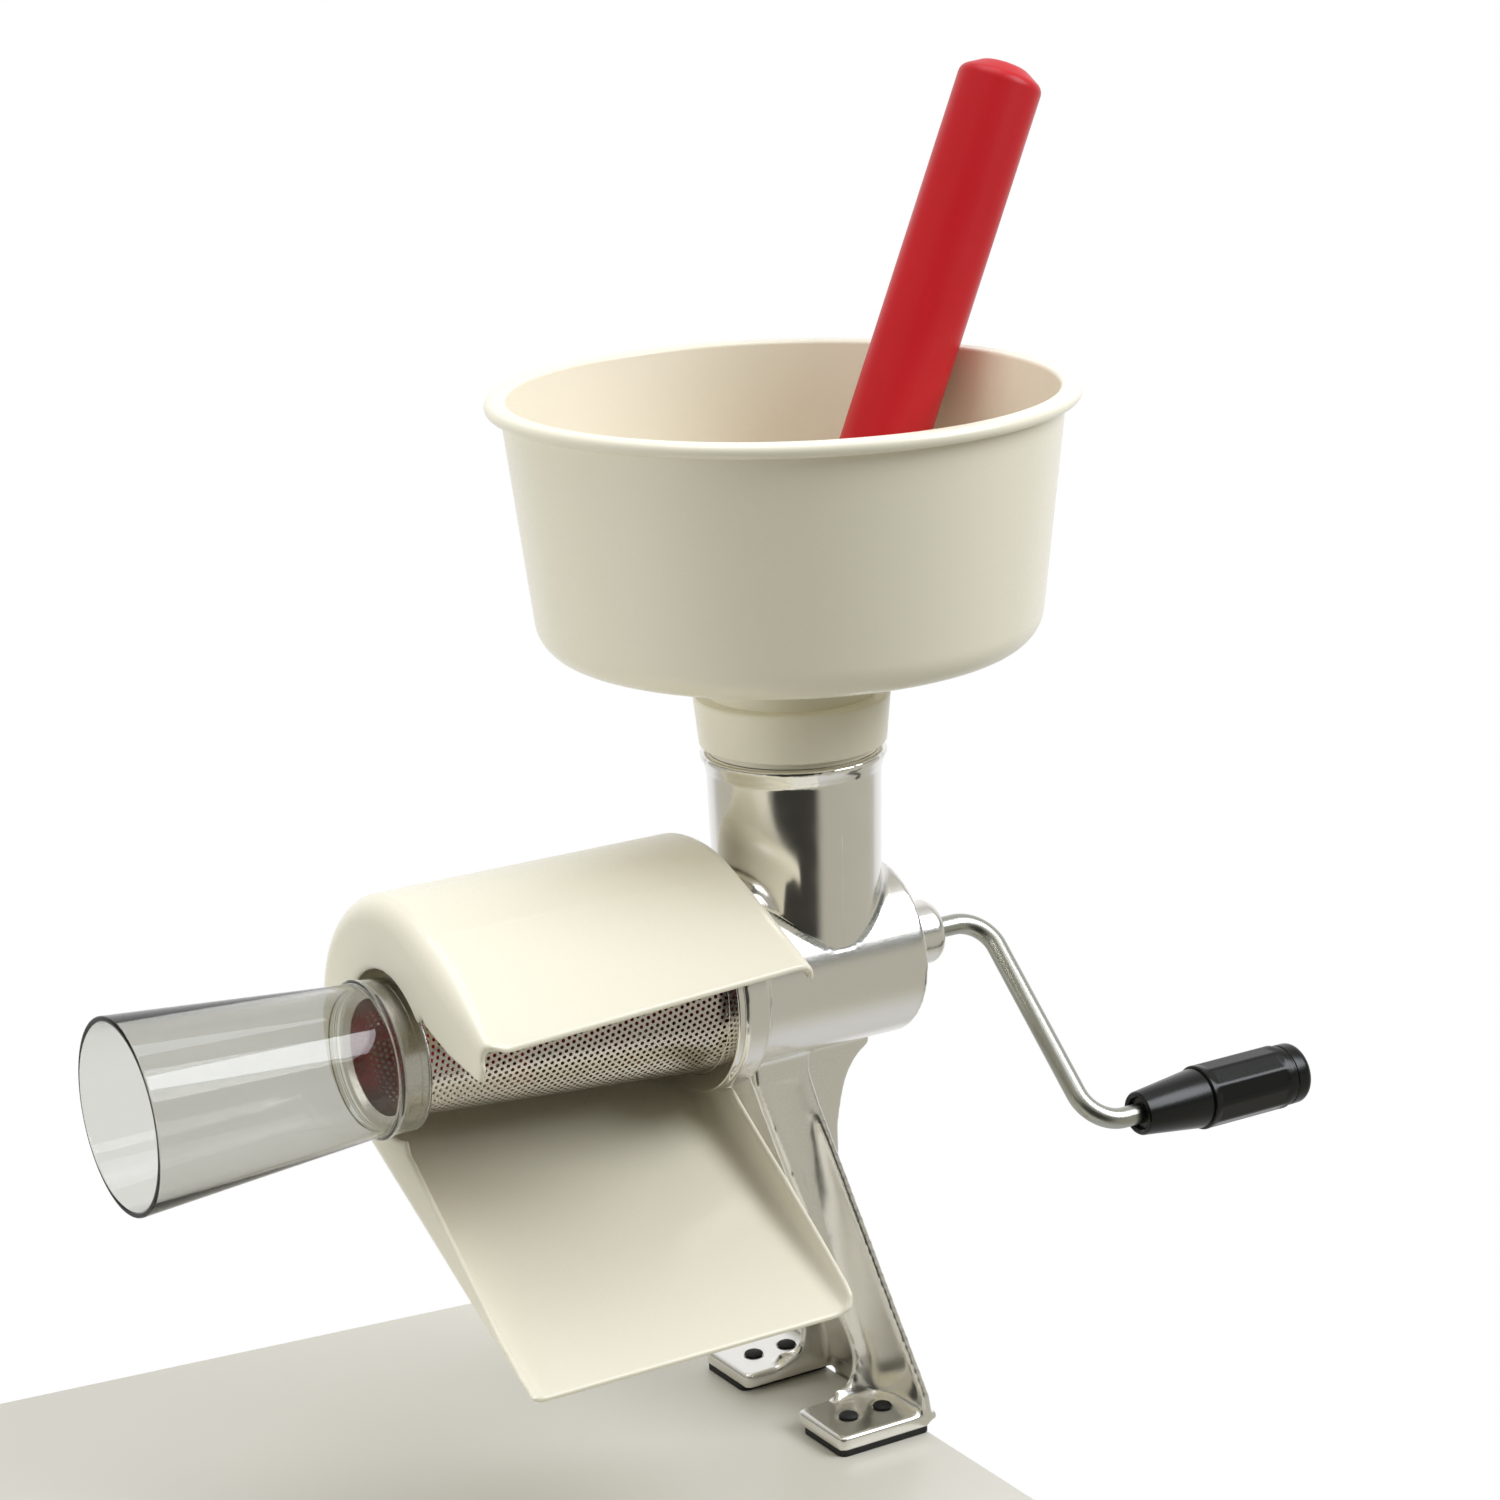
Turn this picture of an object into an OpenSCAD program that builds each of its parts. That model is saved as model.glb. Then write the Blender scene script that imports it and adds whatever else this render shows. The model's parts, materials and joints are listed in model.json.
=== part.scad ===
// Hand-cranked food mill for purees and sauces.
// A cast stand clamps to a table edge and carries a barrel. A bowl feeds the barrel
// through its neck, a screw presses the food against a perforated tube, and a tray
// under that tube leads the puree away. Skins leave through the clear end guard.
// Frame: origin on the table under the bowl's axis, X along the barrel towards the
// crank, Y across, Z up.

/* [Barrel] */
// Height of the barrel's axis above the table
axis_height = 177.2; // [150:0.1:200]
// Outer radius of the barrel
barrel_radius = 33.4; // [30:0.1:40]
// Wall of the barrel
barrel_wall = 3; // [2:0.1:4]
// Front end of the plain barrel
barrel_front = -35.3; // [-45:0.1:-30]
// Rear end of the barrel
barrel_rear = 35.6; // [30:0.1:45]
// Thickness of the barrel's rear wall
rear_wall = 5.6; // [4:0.1:8]
// Outer radius of the thick ring at the barrel's front
ring_radius = 39; // [36:0.1:42]
// Front face of that ring
ring_front = -47.3; // [-55:0.1:-42]
// Depth of the seat bored in the ring
seat_depth = 8.8; // [5:0.1:10]
// Radius of the seat bored in the ring
seat_radius = 36; // [34:0.1:37]
// Radius of the hub at the barrel's rear
hub_radius = 12.1; // [10:0.1:15]
// Rear end of the hub
hub_end = 59.1; // [50:0.1:70]
// Rounding of the hub's rear edge
hub_edge = 4; // [1:0.1:6]
// Radius of the shaft's bearing hole in the hub
hub_bore_radius = 8; // [7:0.1:9]
// Thickness of the hub's end wall
hub_end_wall = 4.1; // [2:0.1:6]

/* [Neck] */
// Outer radius of the neck
neck_radius = 32; // [28:0.1:36]
// Wall of the neck
neck_wall = 2.5; // [2:0.1:4]
// Top of the neck above the barrel's axis
neck_top = 82; // [70:0.1:95]
// Radius of the neck's lip
lip_radius = 34.6; // [33:0.1:38]
// Height of the neck's lip
lip_height = 5.4; // [3:0.1:8]

/* [Stand] */
// Start of the stand below the barrel's axis
stand_start = 33; // [30:0.1:36]
// Rear face of the back plate at its top
plate_top_x = -6; // [-12:0.1:0]
// Rear face of the back plate at its foot
plate_foot_x = 22; // [18:0.1:26]
// Height of the back plate's straight foot
plate_foot_height = 14.2; // [10:0.1:20]
// Half width of the back plate at its top
plate_top_half = 11; // [8:0.1:14]
// Half width of the stand at the table
stand_half = 49; // [40:0.1:55]
// Thickness of the back plate
plate_thickness = 4; // [3:0.1:6]
// Half width over the two webs just under the barrel
web_top_half = 14; // [11:0.1:18]
// Half width over the two webs at the table
web_foot_half = 20.5; // [16:0.1:26]
// Thickness of a web
web_thickness = 4; // [3:0.1:6]
// Front edge of a web under the barrel
web_front_x = -30; // [-34:0.1:-20]
// Front edge of a web at its waist above the foot
web_waist_x = 7; // [0:0.1:12]
// Height of that waist above the table
web_waist_height = 21.2; // [15:0.1:30]
// How far the bead along a web's front edge stands out
bead_height = 1.2; // [0.5:0.1:3]
// Width of that bead
bead_width = 5; // [3:0.1:8]
// Thickness of the gusset behind the back plate
gusset_thickness = 5.5; // [4:0.1:8]
// Rear face of the gusset's straight part
gusset_x = 14.2; // [12:0.1:18]

/* [Feet] */
// Front edge of the foot plates
foot_front = -18.6; // [-25:0.1:-10]
// Rear edge of the foot plates
foot_rear = 21.7; // [18:0.1:25]
// Thickness of a foot plate
foot_thickness = 4; // [3:0.1:6]
// Thickness of a rubber pad
pad_thickness = 4; // [2:0.1:6]
// Corner radius of plates and pads
foot_corner = 3; // [1:0.1:6]
// Distance of the pads' pegs from the middle plane
peg_y = 33.7; // [28:0.1:42]
// Position of the front pegs
peg_front_x = -5.3; // [-12:0.1:0]
// Distance from a front peg to a rear peg
peg_spacing = 15; // [10:0.1:22]
// Radius of a peg's hole
peg_hole_radius = 3; // [2:0.1:4]
// Play between a peg and its hole
peg_play = 0.1; // [0:0.05:0.3]
// Rear end of the stop bars that hang over the table's edge
stop_rear = 25; // [24:0.1:30]
// Thickness of a stop bar
stop_thickness = 3.2; // [2:0.1:5]

/* [Table clamp] */
// Front face of the clamp's spine, against the table's edge
spine_front = 21.3; // [20:0.1:24]
// Thickness of the spine
spine_thickness = 6.7; // [5:0.1:10]
// Half width of the spine
spine_half = 18; // [12:0.1:20]
// Depth of the lower jaw's underside below the table's top
jaw_depth = 88; // [70:0.1:110]
// Height of the lower jaw
jaw_height = 15; // [10:0.1:20]
// Half width of the lower jaw
jaw_half = 8; // [6:0.1:12]
// Position of the clamp screw's axis
screw_x = -2; // [-10:0.1:5]
// Radius of the threaded boss
boss_radius = 12; // [10:0.1:16]
// Radius of the clamp screw
screw_radius = 6; // [5:0.1:8]
// Running clearance of the clamp screw
screw_play = 0.08; // [0.02:0.01:0.1]
// Depth of the clamp pad's face below the table's top
pad_depth = 28; // [5:0.1:50]
// Radius of the clamp pad
clamp_pad_radius = 15; // [12:0.1:20]
// Height of the clamp pad
clamp_pad_height = 7; // [5:0.1:10]
// Length of the clamp screw's thread
screw_length = 90; // [80:0.1:110]
// Radius of the clamp screw's head
screw_head_radius = 8; // [7:0.1:10]
// Height of the clamp screw's head
screw_head_height = 14; // [10:0.1:18]
// Radius of the turning bar
bar_radius = 3; // [2.5:0.1:4]
// Length of the turning bar
bar_length = 62; // [50:0.1:80]

/* [Bowl] */
// Outer radius of the bowl's rim
rim_radius = 105.95; // [95:0.05:115]
// Top of the rim above the barrel's axis
rim_top = 214.1; // [200:0.1:230]
// Thickness of the rolled rim
rim_thickness = 5; // [3:0.1:7]
// How far the rolled rim stands out past the bowl's wall
rim_overhang = 5.05; // [3:0.05:8]
// How much narrower the bowl's wall is at its bottom than at its rim
bowl_taper = 10.7; // [4:0.1:16]
// Underside of the bowl above the barrel's axis
bowl_bottom = 120.8; // [110:0.1:130]
// Radius of the bottom corner
bowl_corner = 13; // [8:0.1:20]
// Wall of the bowl
bowl_wall = 2.5; // [2:0.1:3.5]
// Radius of the bowl's throat below the bottom
throat_radius = 30.5; // [28:0.1:32]
// Clearance of the bowl's spout in the neck
spout_play = 0.3; // [0.1:0.05:0.6]
// Lower end of the spout above the barrel's axis
spout_end = 56; // [50:0.1:70]
// Top of the collar above the barrel's axis
collar_top = 103; // [98:0.1:110]
// Height of the collar
collar_height = 18.6; // [12:0.1:24]
// Radius of the collar at its top
collar_top_radius = 35.9; // [34:0.1:38]
// Radius of the collar at its lower edge
collar_low_radius = 34.2; // [33:0.1:37]
// Radius of the collar's foot that stands on the neck
collar_foot_radius = 31.2; // [30:0.1:33]

/* [Plunger] */
// Radius of the plunger
plunger_radius = 16; // [12:0.1:20]
// Lean of the plunger from upright
plunger_lean = 23.26; // [0:0.01:30]
// Distance of the plunger's axis inside the rim's outer edge, at the rim's height
plunger_inset = 24.52; // [22:0.01:60]
// Axis of the plunger, across
plunger_y = 30; // [0:0.1:45]
// Length of the plunger's axis below the rim's height
plunger_below = 92.2; // [80:0.1:95]
// Length of the plunger's axis above the rim's height
plunger_above = 112; // [90:0.1:130]
// Rise of the plunger's domed top
plunger_dome = 7; // [3:0.1:12]
// Wall of the hollow plunger
plunger_wall = 2.5; // [2:0.1:4]

/* [Screen and screw] */
// Outer radius of the perforated tube
screen_radius = 31.7; // [30:0.1:33]
// Wall of the perforated tube
screen_wall = 0.8; // [0.5:0.1:1.5]
// Front end of the perforated tube
screen_front = -175; // [-180:0.1:-165]
// Rear end of the perforated tube
screen_rear = -42; // [-46:0.1:-40]
// Thickness of the end bands on the tube
band_thickness = 0.6; // [0.4:0.1:1.2]
// Length of the rear band
rear_band_length = 8; // [5:0.1:12]
// Thickness of the front band
front_band_thickness = 1.9; // [1:0.1:3]
// Length of the front band
front_band_length = 9; // [6:0.1:14]
// Outer radius of the seat ring's face
seat_rim_radius = 38.9; // [37:0.1:40]
// Thickness of the seat ring's face in front of the barrel
seat_rim_thickness = 2.6; // [1.5:0.1:4]
// Clearance between the tube's band and the seat ring
seat_play = 0.08; // [0.02:0.01:0.3]
// Radius of the screw's flight
flight_radius = 30; // [28:0.1:31]
// Radius of the screw's core
core_radius = 11; // [8:0.1:14]
// Pitch of the screw's flight
flight_pitch = 38; // [25:0.5:60]
// Angle that the flight fills in a cross section
flight_angle = 30; // [15:1:45]
// Front end of the screw
screw_front_x = -172; // [-178:0.1:-160]
// Rear end of the screw
screw_rear_x = 24.7; // [20:0.1:28]

/* [Drive] */
// Radius of the drive shaft
shaft_radius = 6; // [5:0.1:7]
// Running clearance of the shaft
shaft_play = 0.06; // [0.02:0.01:0.1]
// Length of the shaft's hexagon inside the screw
hex_length = 40; // [20:0.1:60]
// Thickness of the thrust washer
washer_thickness = 1.5; // [1:0.1:3]
// Radius of the thrust washer
washer_radius = 14; // [10:0.1:16]
// Thickness of the shaft's seal
seal_thickness = 2; // [1:0.1:3]
// Radius of the shaft's seal
seal_radius = 11; // [9:0.1:13]
// Thickness of the bearing's flange
flange_thickness = 1.5; // [1:0.1:3]

/* [Crank] */
// Radius of the crank's rod
rod_radius = 3.9; // [3:0.05:5]
// Depth of the rod's end in the shaft
rod_depth = 14; // [8:0.1:18]
// Plane of the crank's arm
arm_x = 82; // [75:0.1:95]
// Distance from the barrel's axis to the grip's axis
arm_length = 93.75; // [80:0.05:110]
// Turn of the crank from the Y axis
crank_angle = -138.4; // [-180:0.1:180]
// Radius of the bend next to the hub
hub_bend = 13; // [8:0.1:18]
// Radius of the bend next to the grip
grip_bend = 14; // [8:0.1:18]
// Front end of the grip
grip_front = 102.1; // [98:0.1:110]
// Length of the grip's conical front
cone_length = 28; // [20:0.1:35]
// Length of the grip's fluted sleeve
sleeve_length = 37.4; // [30:0.1:45]
// Length of the grip's end cap
cap_length = 10; // [6:0.1:14]
// Radius of the grip's front end
grip_front_radius = 8.25; // [7:0.05:10]
// Radius of the cone at the sleeve
cone_radius = 11.25; // [10:0.05:13]
// Radius over the sleeve's corners
sleeve_radius = 12.5; // [11:0.1:14]
// Number of flats round the sleeve
sleeve_flats = 10; // [6:1:16]
// Radius of the end cap
cap_radius = 11.6; // [10:0.1:13]
// Running clearance of the grip on the rod
grip_play = 0.08; // [0.02:0.01:0.1]

/* [Guard] */
// Front end of the clear guard
guard_end = -270; // [-290:0.1:-240]
// Radius of the guard's front end
guard_end_radius = 34.6; // [30:0.1:40]
// Radius of the cone where it meets the socket
guard_neck_radius = 27.4; // [24:0.1:30]
// Wall of the guard
guard_wall = 2; // [1.5:0.1:3]
// Front face of the guard's socket
socket_front = -182; // [-190:0.1:-178]
// Rear end of the guard's socket
socket_rear = -166; // [-168:0.1:-160]
// Outer radius of the socket
socket_radius = 36; // [35:0.1:37]
// Radius of the socket's flange
socket_flange_radius = 37; // [36:0.1:39]
// Thickness of the socket's flange
socket_flange = 3; // [2:0.1:5]
// Number of key lugs between the tube and the socket
lugs = 3; // [2:1:4]
// Width of a key lug
lug_width = 5; // [3:0.1:8]

/* [Hood and tray] */
// Left end of the hood and tray
chute_left = -170; // [-175:0.1:-165]
// Right end of the hood and tray
chute_right = -38.5; // [-42:0.1:-36]
// Wall of the hood and tray
chute_wall = 2.5; // [2:0.1:3.5]
// Outer radius of the hood's crown about the barrel's axis
crown_radius = 56; // [50:0.1:60]
// Slope of the hood's front in degrees
hood_slope = 22.8; // [15:0.1:30]
// Front edge of the hood
hood_front_y = -75; // [-85:0.1:-65]
// Slope of the tray's floor in degrees
tray_slope = 26.75; // [20:0.05:35]
// Underside of the tray's floor under the barrel's axis
tray_drop = 52; // [48:0.1:56]
// Front edge of the tray
tray_front_y = -92; // [-100:0.1:-80]
// Radius of the corner between the hood's back and the tray
back_corner = 25; // [18:0.1:32]
// Radius of the folds along the two ends
fold_radius = 8; // [5:0.1:10]
// Depth of the hood's turned-down ends
fold_depth = 9.6; // [8:0.1:14]
// Radius of the opening round the barrel's ring
right_hole_radius = 39.25; // [39.2:0.05:41]
// Radius of the opening round the guard's socket
left_hole_radius = 36.3; // [36.1:0.05:38]

/* [Hidden] */
$fn = 72;
lift = [0, 0, axis_height];
bore_radius = barrel_radius - barrel_wall;
neck_bore = neck_radius - neck_wall;
spout_radius = neck_bore - spout_play;
bowl_top_radius = rim_radius - rim_overhang;
bowl_low_radius = bowl_top_radius - bowl_taper;
plunger_x = sqrt(pow(rim_radius - plunger_inset, 2) - pow(plunger_y, 2));
foot_top = pad_thickness + foot_thickness;
foot_inner = web_foot_half + 0.7;
plate_lean = atan((plate_foot_x - plate_top_x) / (axis_height - stand_start - plate_foot_height));
web_splay = atan((web_foot_half - web_top_half) / (axis_height - foot_top - stand_start - 3));
bushing_front = barrel_rear - rear_wall;
shaft_end = hub_end - hub_end_wall - 0.5;
hex_front = screw_rear_x - hex_length;
sleeve_front = grip_front + cone_length;
cap_front = sleeve_front + sleeve_length;
grip_end = cap_front + cap_length;
chute_length = chute_right - chute_left;
back_center = corner_center();
back_angle = atan2(back_center[1], back_center[0]);
back_end_angle = tray_slope - 90;
hood_edge = [hood_front_y,
             crown_radius / cos(hood_slope) + hood_front_y * tan(hood_slope)];
tray_edge = [tray_front_y, tray_front_y * tan(tray_slope) - tray_drop];
screw_turns = (screw_rear_x - screw_front_x) / flight_pitch;

// Centre of the corner that touches both the crown's circle and the tray's underside
function corner_center() =
    let (t = tan(tray_slope),
         c = tray_drop - back_corner / cos(tray_slope),
         d = crown_radius - back_corner,
         a = 1 + t * t,
         y = (t * c + sqrt(t * t * c * c - a * (c * c - d * d))) / a)
    [y, t * y - c];

// Points on an arc from one angle to another
function arc(cx, cy, r, from, to, steps) =
    [for (i = [0:steps]) let (a = from + (to - from) * i / steps) [cx + r * cos(a), cy + r * sin(a)]];

// Outline of the hood and tray, a distance inside its outer face
function chute_path(inset) =
    concat([hood_edge + inset * [sin(hood_slope), -cos(hood_slope)]],
           arc(0, 0, crown_radius - inset, 90 + hood_slope, back_angle, 24),
           arc(back_center[0], back_center[1], back_corner - inset, back_angle, back_end_angle, 8),
           [tray_edge + inset * [-sin(tray_slope), cos(tray_slope)]]);

// Places a body of revolution drawn upwards so that it runs along the barrel
module along_barrel(x) {
    translate([x, 0, axis_height])
        rotate([0, 90, 0])
            children();
}

// Extrudes a section drawn in Y and Z along X, from one place to another
module section(from, to) {
    translate([from, 0, 0])
        rotate([90, 0, 90])
            linear_extrude(to - from)
                children();
}

// Extrudes a profile drawn in X and Z, centred on the middle plane
module profile(thickness) {
    translate([0, thickness / 2, 0])
        rotate([90, 0, 0])
            linear_extrude(thickness)
                children();
}

// Makes one copy on each side of the middle plane
module both_sides() {
    children();
    mirror([0, 1, 0])
        children();
}

// Flat plate with round corners, its lower face at z = 0
module rounded_plate(x0, x1, y0, y1, r, h) {
    linear_extrude(h)
        polygon(concat(arc(x1 - r, y1 - r, r, 0, 90, 6), arc(x0 + r, y1 - r, r, 90, 180, 6),
                       arc(x0 + r, y0 + r, r, 180, 270, 6), arc(x1 - r, y0 + r, r, 270, 360, 6)));
}

// Ring along the barrel
module barrel_ring(x0, x1, outer, inner) {
    along_barrel(x0)
        difference() {
            cylinder(r = outer, h = x1 - x0);
            translate([0, 0, -1])
                cylinder(r = inner, h = x1 - x0 + 2);
        }
}

// Outside of the barrel, its front ring, the hub and the neck
module barrel_outside() {
    along_barrel(barrel_front - 2)
        cylinder(r = barrel_radius, h = barrel_rear - barrel_front + 2);
    along_barrel(ring_front)
        rotate_extrude()
            polygon([[0, 0], [ring_radius - 0.6, 0], [ring_radius, 0.6],
                     [ring_radius, barrel_front - ring_front - 1],
                     [ring_radius - 1, barrel_front - ring_front],
                     [0, barrel_front - ring_front]]);
    along_barrel(barrel_rear - 2)
        rotate_extrude()
            polygon(concat([[0, 0], [hub_radius + 2.5, 0], [hub_radius + 2.5, 2]],
                           arc(hub_radius + 2.5, 4.5, 2.5, 270, 180, 4),
                           arc(hub_radius - hub_edge, hub_end - barrel_rear + 2 - hub_edge,
                               hub_edge, 0, 90, 8),
                           [[0, hub_end - barrel_rear + 2]]));
    translate(lift)
        cylinder(r = neck_radius, h = neck_top - 1);
    translate([0, 0, axis_height + neck_top - lip_height - 1.2])
        rotate_extrude()
            polygon([[neck_bore, 0], [neck_radius, 0], [neck_radius + 0.5, 0.4],
                     [neck_radius + 0.7, lip_height * 0.45], [lip_radius - 0.7, lip_height * 0.75],
                     [lip_radius, lip_height], [lip_radius - 0.1, lip_height + 0.8],
                     [lip_radius - 0.6, lip_height + 1.2], [neck_bore, lip_height + 1.2]]);
}

// Web of the stand on the +Y side, with the bead along its front edge
module web() {
    waist = web_waist_height - axis_height;
    translate([0, web_top_half, -stand_start - 3])
        rotate([web_splay, 0, 0])
            translate([0, 0, stand_start + 3])
                rotate([90, 0, 0]) {
                    linear_extrude(web_thickness)
                        polygon([[plate_top_x - 2, 3.5 - stand_start], [web_front_x - 0.5, 3.5 - stand_start],
                                 [web_front_x, -stand_start - 5], [web_waist_x - 1.1, waist + 6],
                                 [web_waist_x, waist], [web_waist_x - 0.4, waist - 5],
                                 [web_waist_x - 2.7, waist - 9], [web_waist_x - 10.7, foot_top - axis_height],
                                 [web_waist_x - 10.7, foot_top - axis_height - 2.5],
                                 [plate_foot_x - 1, foot_top - axis_height - 2.5],
                                 [plate_foot_x - 1, plate_foot_height - axis_height]]);
                    translate([0, 0, -bead_height])
                        linear_extrude(web_thickness)
                            polygon([[web_front_x, -stand_start - 5], [web_waist_x - 1.1, waist + 6],
                                     [web_waist_x, waist], [web_waist_x + bead_width, waist - 1],
                                     [web_waist_x - 1.1 + bead_width, waist + 7],
                                     [web_front_x + bead_width, -stand_start - 4]]);
                }
}

// Back plate, webs and gusset of the stand
module stand() {
    rise = (axis_height - stand_start - plate_foot_height) / cos(plate_lean);
    translate([plate_top_x, 0, axis_height - stand_start])
        rotate([0, -plate_lean, 0])
            section(-plate_thickness, 0)
                polygon([[1 - plate_top_half, 3], [plate_top_half - 1, 3],
                         [stand_half, -rise], [-stand_half, -rise]]);
    section(plate_foot_x - plate_thickness, plate_foot_x)
        polygon([[-stand_half, pad_thickness], [-stand_half, plate_foot_height + 0.6],
                 [stand_half, plate_foot_height + 0.6], [stand_half, pad_thickness],
                 [web_foot_half - 2, pad_thickness], [web_foot_half - 2, foot_top],
                 [2 - web_foot_half, foot_top], [2 - web_foot_half, pad_thickness]]);
    translate(lift)
        both_sides()
            web();
    translate(lift)
        profile(gusset_thickness)
            polygon([[plate_top_x - 3, 1.5 - stand_start], [gusset_x + 14.3, 1.5 - stand_start],
                     [gusset_x + 14.3, -stand_start - 4.8], [gusset_x + 9.4, -stand_start - 8.6],
                     [gusset_x + 6, -stand_start - 12.5], [gusset_x + 3.6, -stand_start - 17.5],
                     [gusset_x + 2, -stand_start - 23], [gusset_x + 0.5, -stand_start - 30],
                     [gusset_x, -stand_start - 34], [gusset_x, -stand_start - 92],
                     [gusset_x - 2, -stand_start - 92]]);
}

// Foot plates with their peg holes, and the stop bars behind them
module feet() {
    difference() {
        both_sides()
            translate([0, 0, pad_thickness])
                rounded_plate(foot_front, foot_rear, web_foot_half - 3, stand_half, foot_corner,
                              foot_thickness);
        both_sides()
            for (i = [0, 1])
                translate([peg_front_x + i * peg_spacing, peg_y, 0])
                    cylinder(r = peg_hole_radius, h = foot_top + 1);
    }
    both_sides()
        translate([foot_rear - 2, web_foot_half - 3, pad_thickness])
            cube([stop_rear - foot_rear + 2, stand_half - web_foot_half + 2.5, stop_thickness]);
}

// Spine, rib and lower jaw of the table clamp
module clamp_frame() {
    profile(2 * spine_half)
        polygon([[spine_front, -jaw_depth], [spine_front + spine_thickness, -jaw_depth],
                 [spine_front + spine_thickness, foot_top], [spine_front - 0.3, 26],
                 [plate_foot_x - plate_thickness + 0.5, 26], [plate_foot_x - plate_thickness + 0.5, foot_top],
                 [spine_front, foot_top]]);
    profile(gusset_thickness)
        polygon([[spine_front + 2, -jaw_depth], [spine_front + spine_thickness + 5, -jaw_depth + 8],
                 [spine_front + spine_thickness + 5, -8], [spine_front + 2, foot_top]]);
    profile(2 * jaw_half)
        polygon([[screw_x, -jaw_depth], [spine_front + 2, -jaw_depth],
                 [spine_front + 2, jaw_height + 7 - jaw_depth],
                 [spine_front - 6, jaw_height - jaw_depth], [screw_x, jaw_height - jaw_depth]]);
    translate([screw_x, 0, -jaw_depth - 2])
        cylinder(r = boss_radius, h = jaw_height + 4);
}

module body_casting() {
    color("silver")
        difference() {
            union() {
                barrel_outside();
                stand();
                feet();
                clamp_frame();
            }
            along_barrel(ring_front - 1)
                cylinder(r = bore_radius, h = bushing_front - ring_front + 1);
            along_barrel(ring_front - 1)
                cylinder(r = seat_radius, h = seat_depth + 1);
            along_barrel(bushing_front - 1)
                cylinder(r = hub_bore_radius, h = hub_end - hub_end_wall - bushing_front + 1);
            along_barrel(bushing_front)
                cylinder(r = rod_radius + 0.5, h = hub_end);
            translate(lift)
                cylinder(r = neck_bore, h = neck_top + 1);
            translate([screw_x, 0, -jaw_depth - 3])
                cylinder(r = screw_radius + screw_play, h = jaw_height + 6);
        }
}

// Rubber pad of one foot with its pegs
module foot_pad() {
    rounded_plate(foot_front + 0.4, foot_rear - 0.4, foot_inner, stand_half - 0.4, foot_corner,
                  pad_thickness);
    for (i = [0, 1])
        translate([peg_front_x + i * peg_spacing, peg_y, 0]) {
            cylinder(r = peg_hole_radius - peg_play, h = foot_top);
            translate([0, 0, foot_top])
                rotate_extrude()
                    polygon([[0, 0], [peg_hole_radius + 0.7, 0], [peg_hole_radius + 0.5, 0.6],
                             [peg_hole_radius - 0.8, 1.3], [0, 1.5]]);
        }
}

module foot_pad_far() {
    color("dimgray")
        foot_pad();
}

module foot_pad_near() {
    color("dimgray")
        mirror([0, 1, 0])
            foot_pad();
}

module drive_bushing() {
    color("ivory")
        along_barrel(bushing_front - flange_thickness)
            difference() {
                union() {
                    cylinder(r = seal_radius + 1, h = flange_thickness);
                    cylinder(r = hub_bore_radius, h = shaft_end - bushing_front + flange_thickness);
                }
                translate([0, 0, -1])
                    cylinder(r = shaft_radius + shaft_play, h = hub_end);
            }
}

module shaft_seal() {
    color("dimgray")
        barrel_ring(bushing_front - flange_thickness - seal_thickness,
                    bushing_front - flange_thickness, seal_radius, shaft_radius + shaft_play);
}

module thrust_washer() {
    x = bushing_front - flange_thickness - seal_thickness;
    color("white")
        barrel_ring(x - washer_thickness, x, washer_radius, shaft_radius + shaft_play);
}

module drive_shaft() {
    color("gray")
        difference() {
            union() {
                along_barrel(screw_rear_x)
                    cylinder(r = shaft_radius, h = shaft_end - screw_rear_x);
                along_barrel(hex_front)
                    cylinder(r = shaft_radius, h = hex_length, $fn = 6);
            }
            along_barrel(shaft_end - rod_depth)
                cylinder(r = rod_radius, h = rod_depth + 1);
        }
}

// Screw that carries the food along: a core with one flight wound round it
module auger() {
    color("firebrick")
        difference() {
            union() {
                along_barrel(screw_front_x)
                    linear_extrude(screw_rear_x - screw_front_x, twist = -360 * screw_turns,
                                   slices = round(16 * screw_turns), $fn = 14)
                        polygon(concat([[0, 0]],
                                       arc(0, 0, flight_radius, -flight_angle / 2, flight_angle / 2, 4)));
                along_barrel(screw_front_x - 2)
                    rotate_extrude($fn = 32)
                        polygon([[0, 0], [core_radius - 2, 0], [core_radius, 2],
                                 [core_radius, screw_rear_x - screw_front_x + 2],
                                 [0, screw_rear_x - screw_front_x + 2]]);
            }
            along_barrel(hex_front)
                cylinder(r = shaft_radius, h = hex_length + 1, $fn = 6);
        }
}

// Flat ring that closes the barrel's mouth round the end of the tube
module seat_ring() {
    spigot = screen_radius + band_thickness + seat_play;
    color("silver")
        along_barrel(ring_front - seat_rim_thickness)
            rotate_extrude()
                polygon([[spigot, 0], [seat_rim_radius - 0.4, 0], [seat_rim_radius, 0.4],
                         [seat_rim_radius, seat_rim_thickness], [seat_radius, seat_rim_thickness],
                         [seat_radius, seat_rim_thickness + seat_depth - 0.3],
                         [spigot, seat_rim_thickness + seat_depth - 0.3]]);
}

module screen_tube() {
    color("lightgray")
        barrel_ring(screen_front, screen_rear, screen_radius, screen_radius - screen_wall);
}

module screen_rear_band() {
    color("gray")
        barrel_ring(screen_rear - rear_band_length, screen_rear, screen_radius + band_thickness,
                    screen_radius);
}

// Front band with the lugs that key into the guard's socket
module screen_front_band() {
    color("gray") {
        barrel_ring(screen_front, screen_front + front_band_length, screen_radius + front_band_thickness,
                    screen_radius);
        for (i = [0:lugs - 1])
            along_barrel(screen_front + 2)
                rotate([0, 0, 60 + i * 360 / lugs])
                    translate([screen_radius + front_band_thickness - 0.4, 0.4 - lug_width / 2, 0])
                        cube([1.8, lug_width - 0.8, 3]);
    }
}

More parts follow.
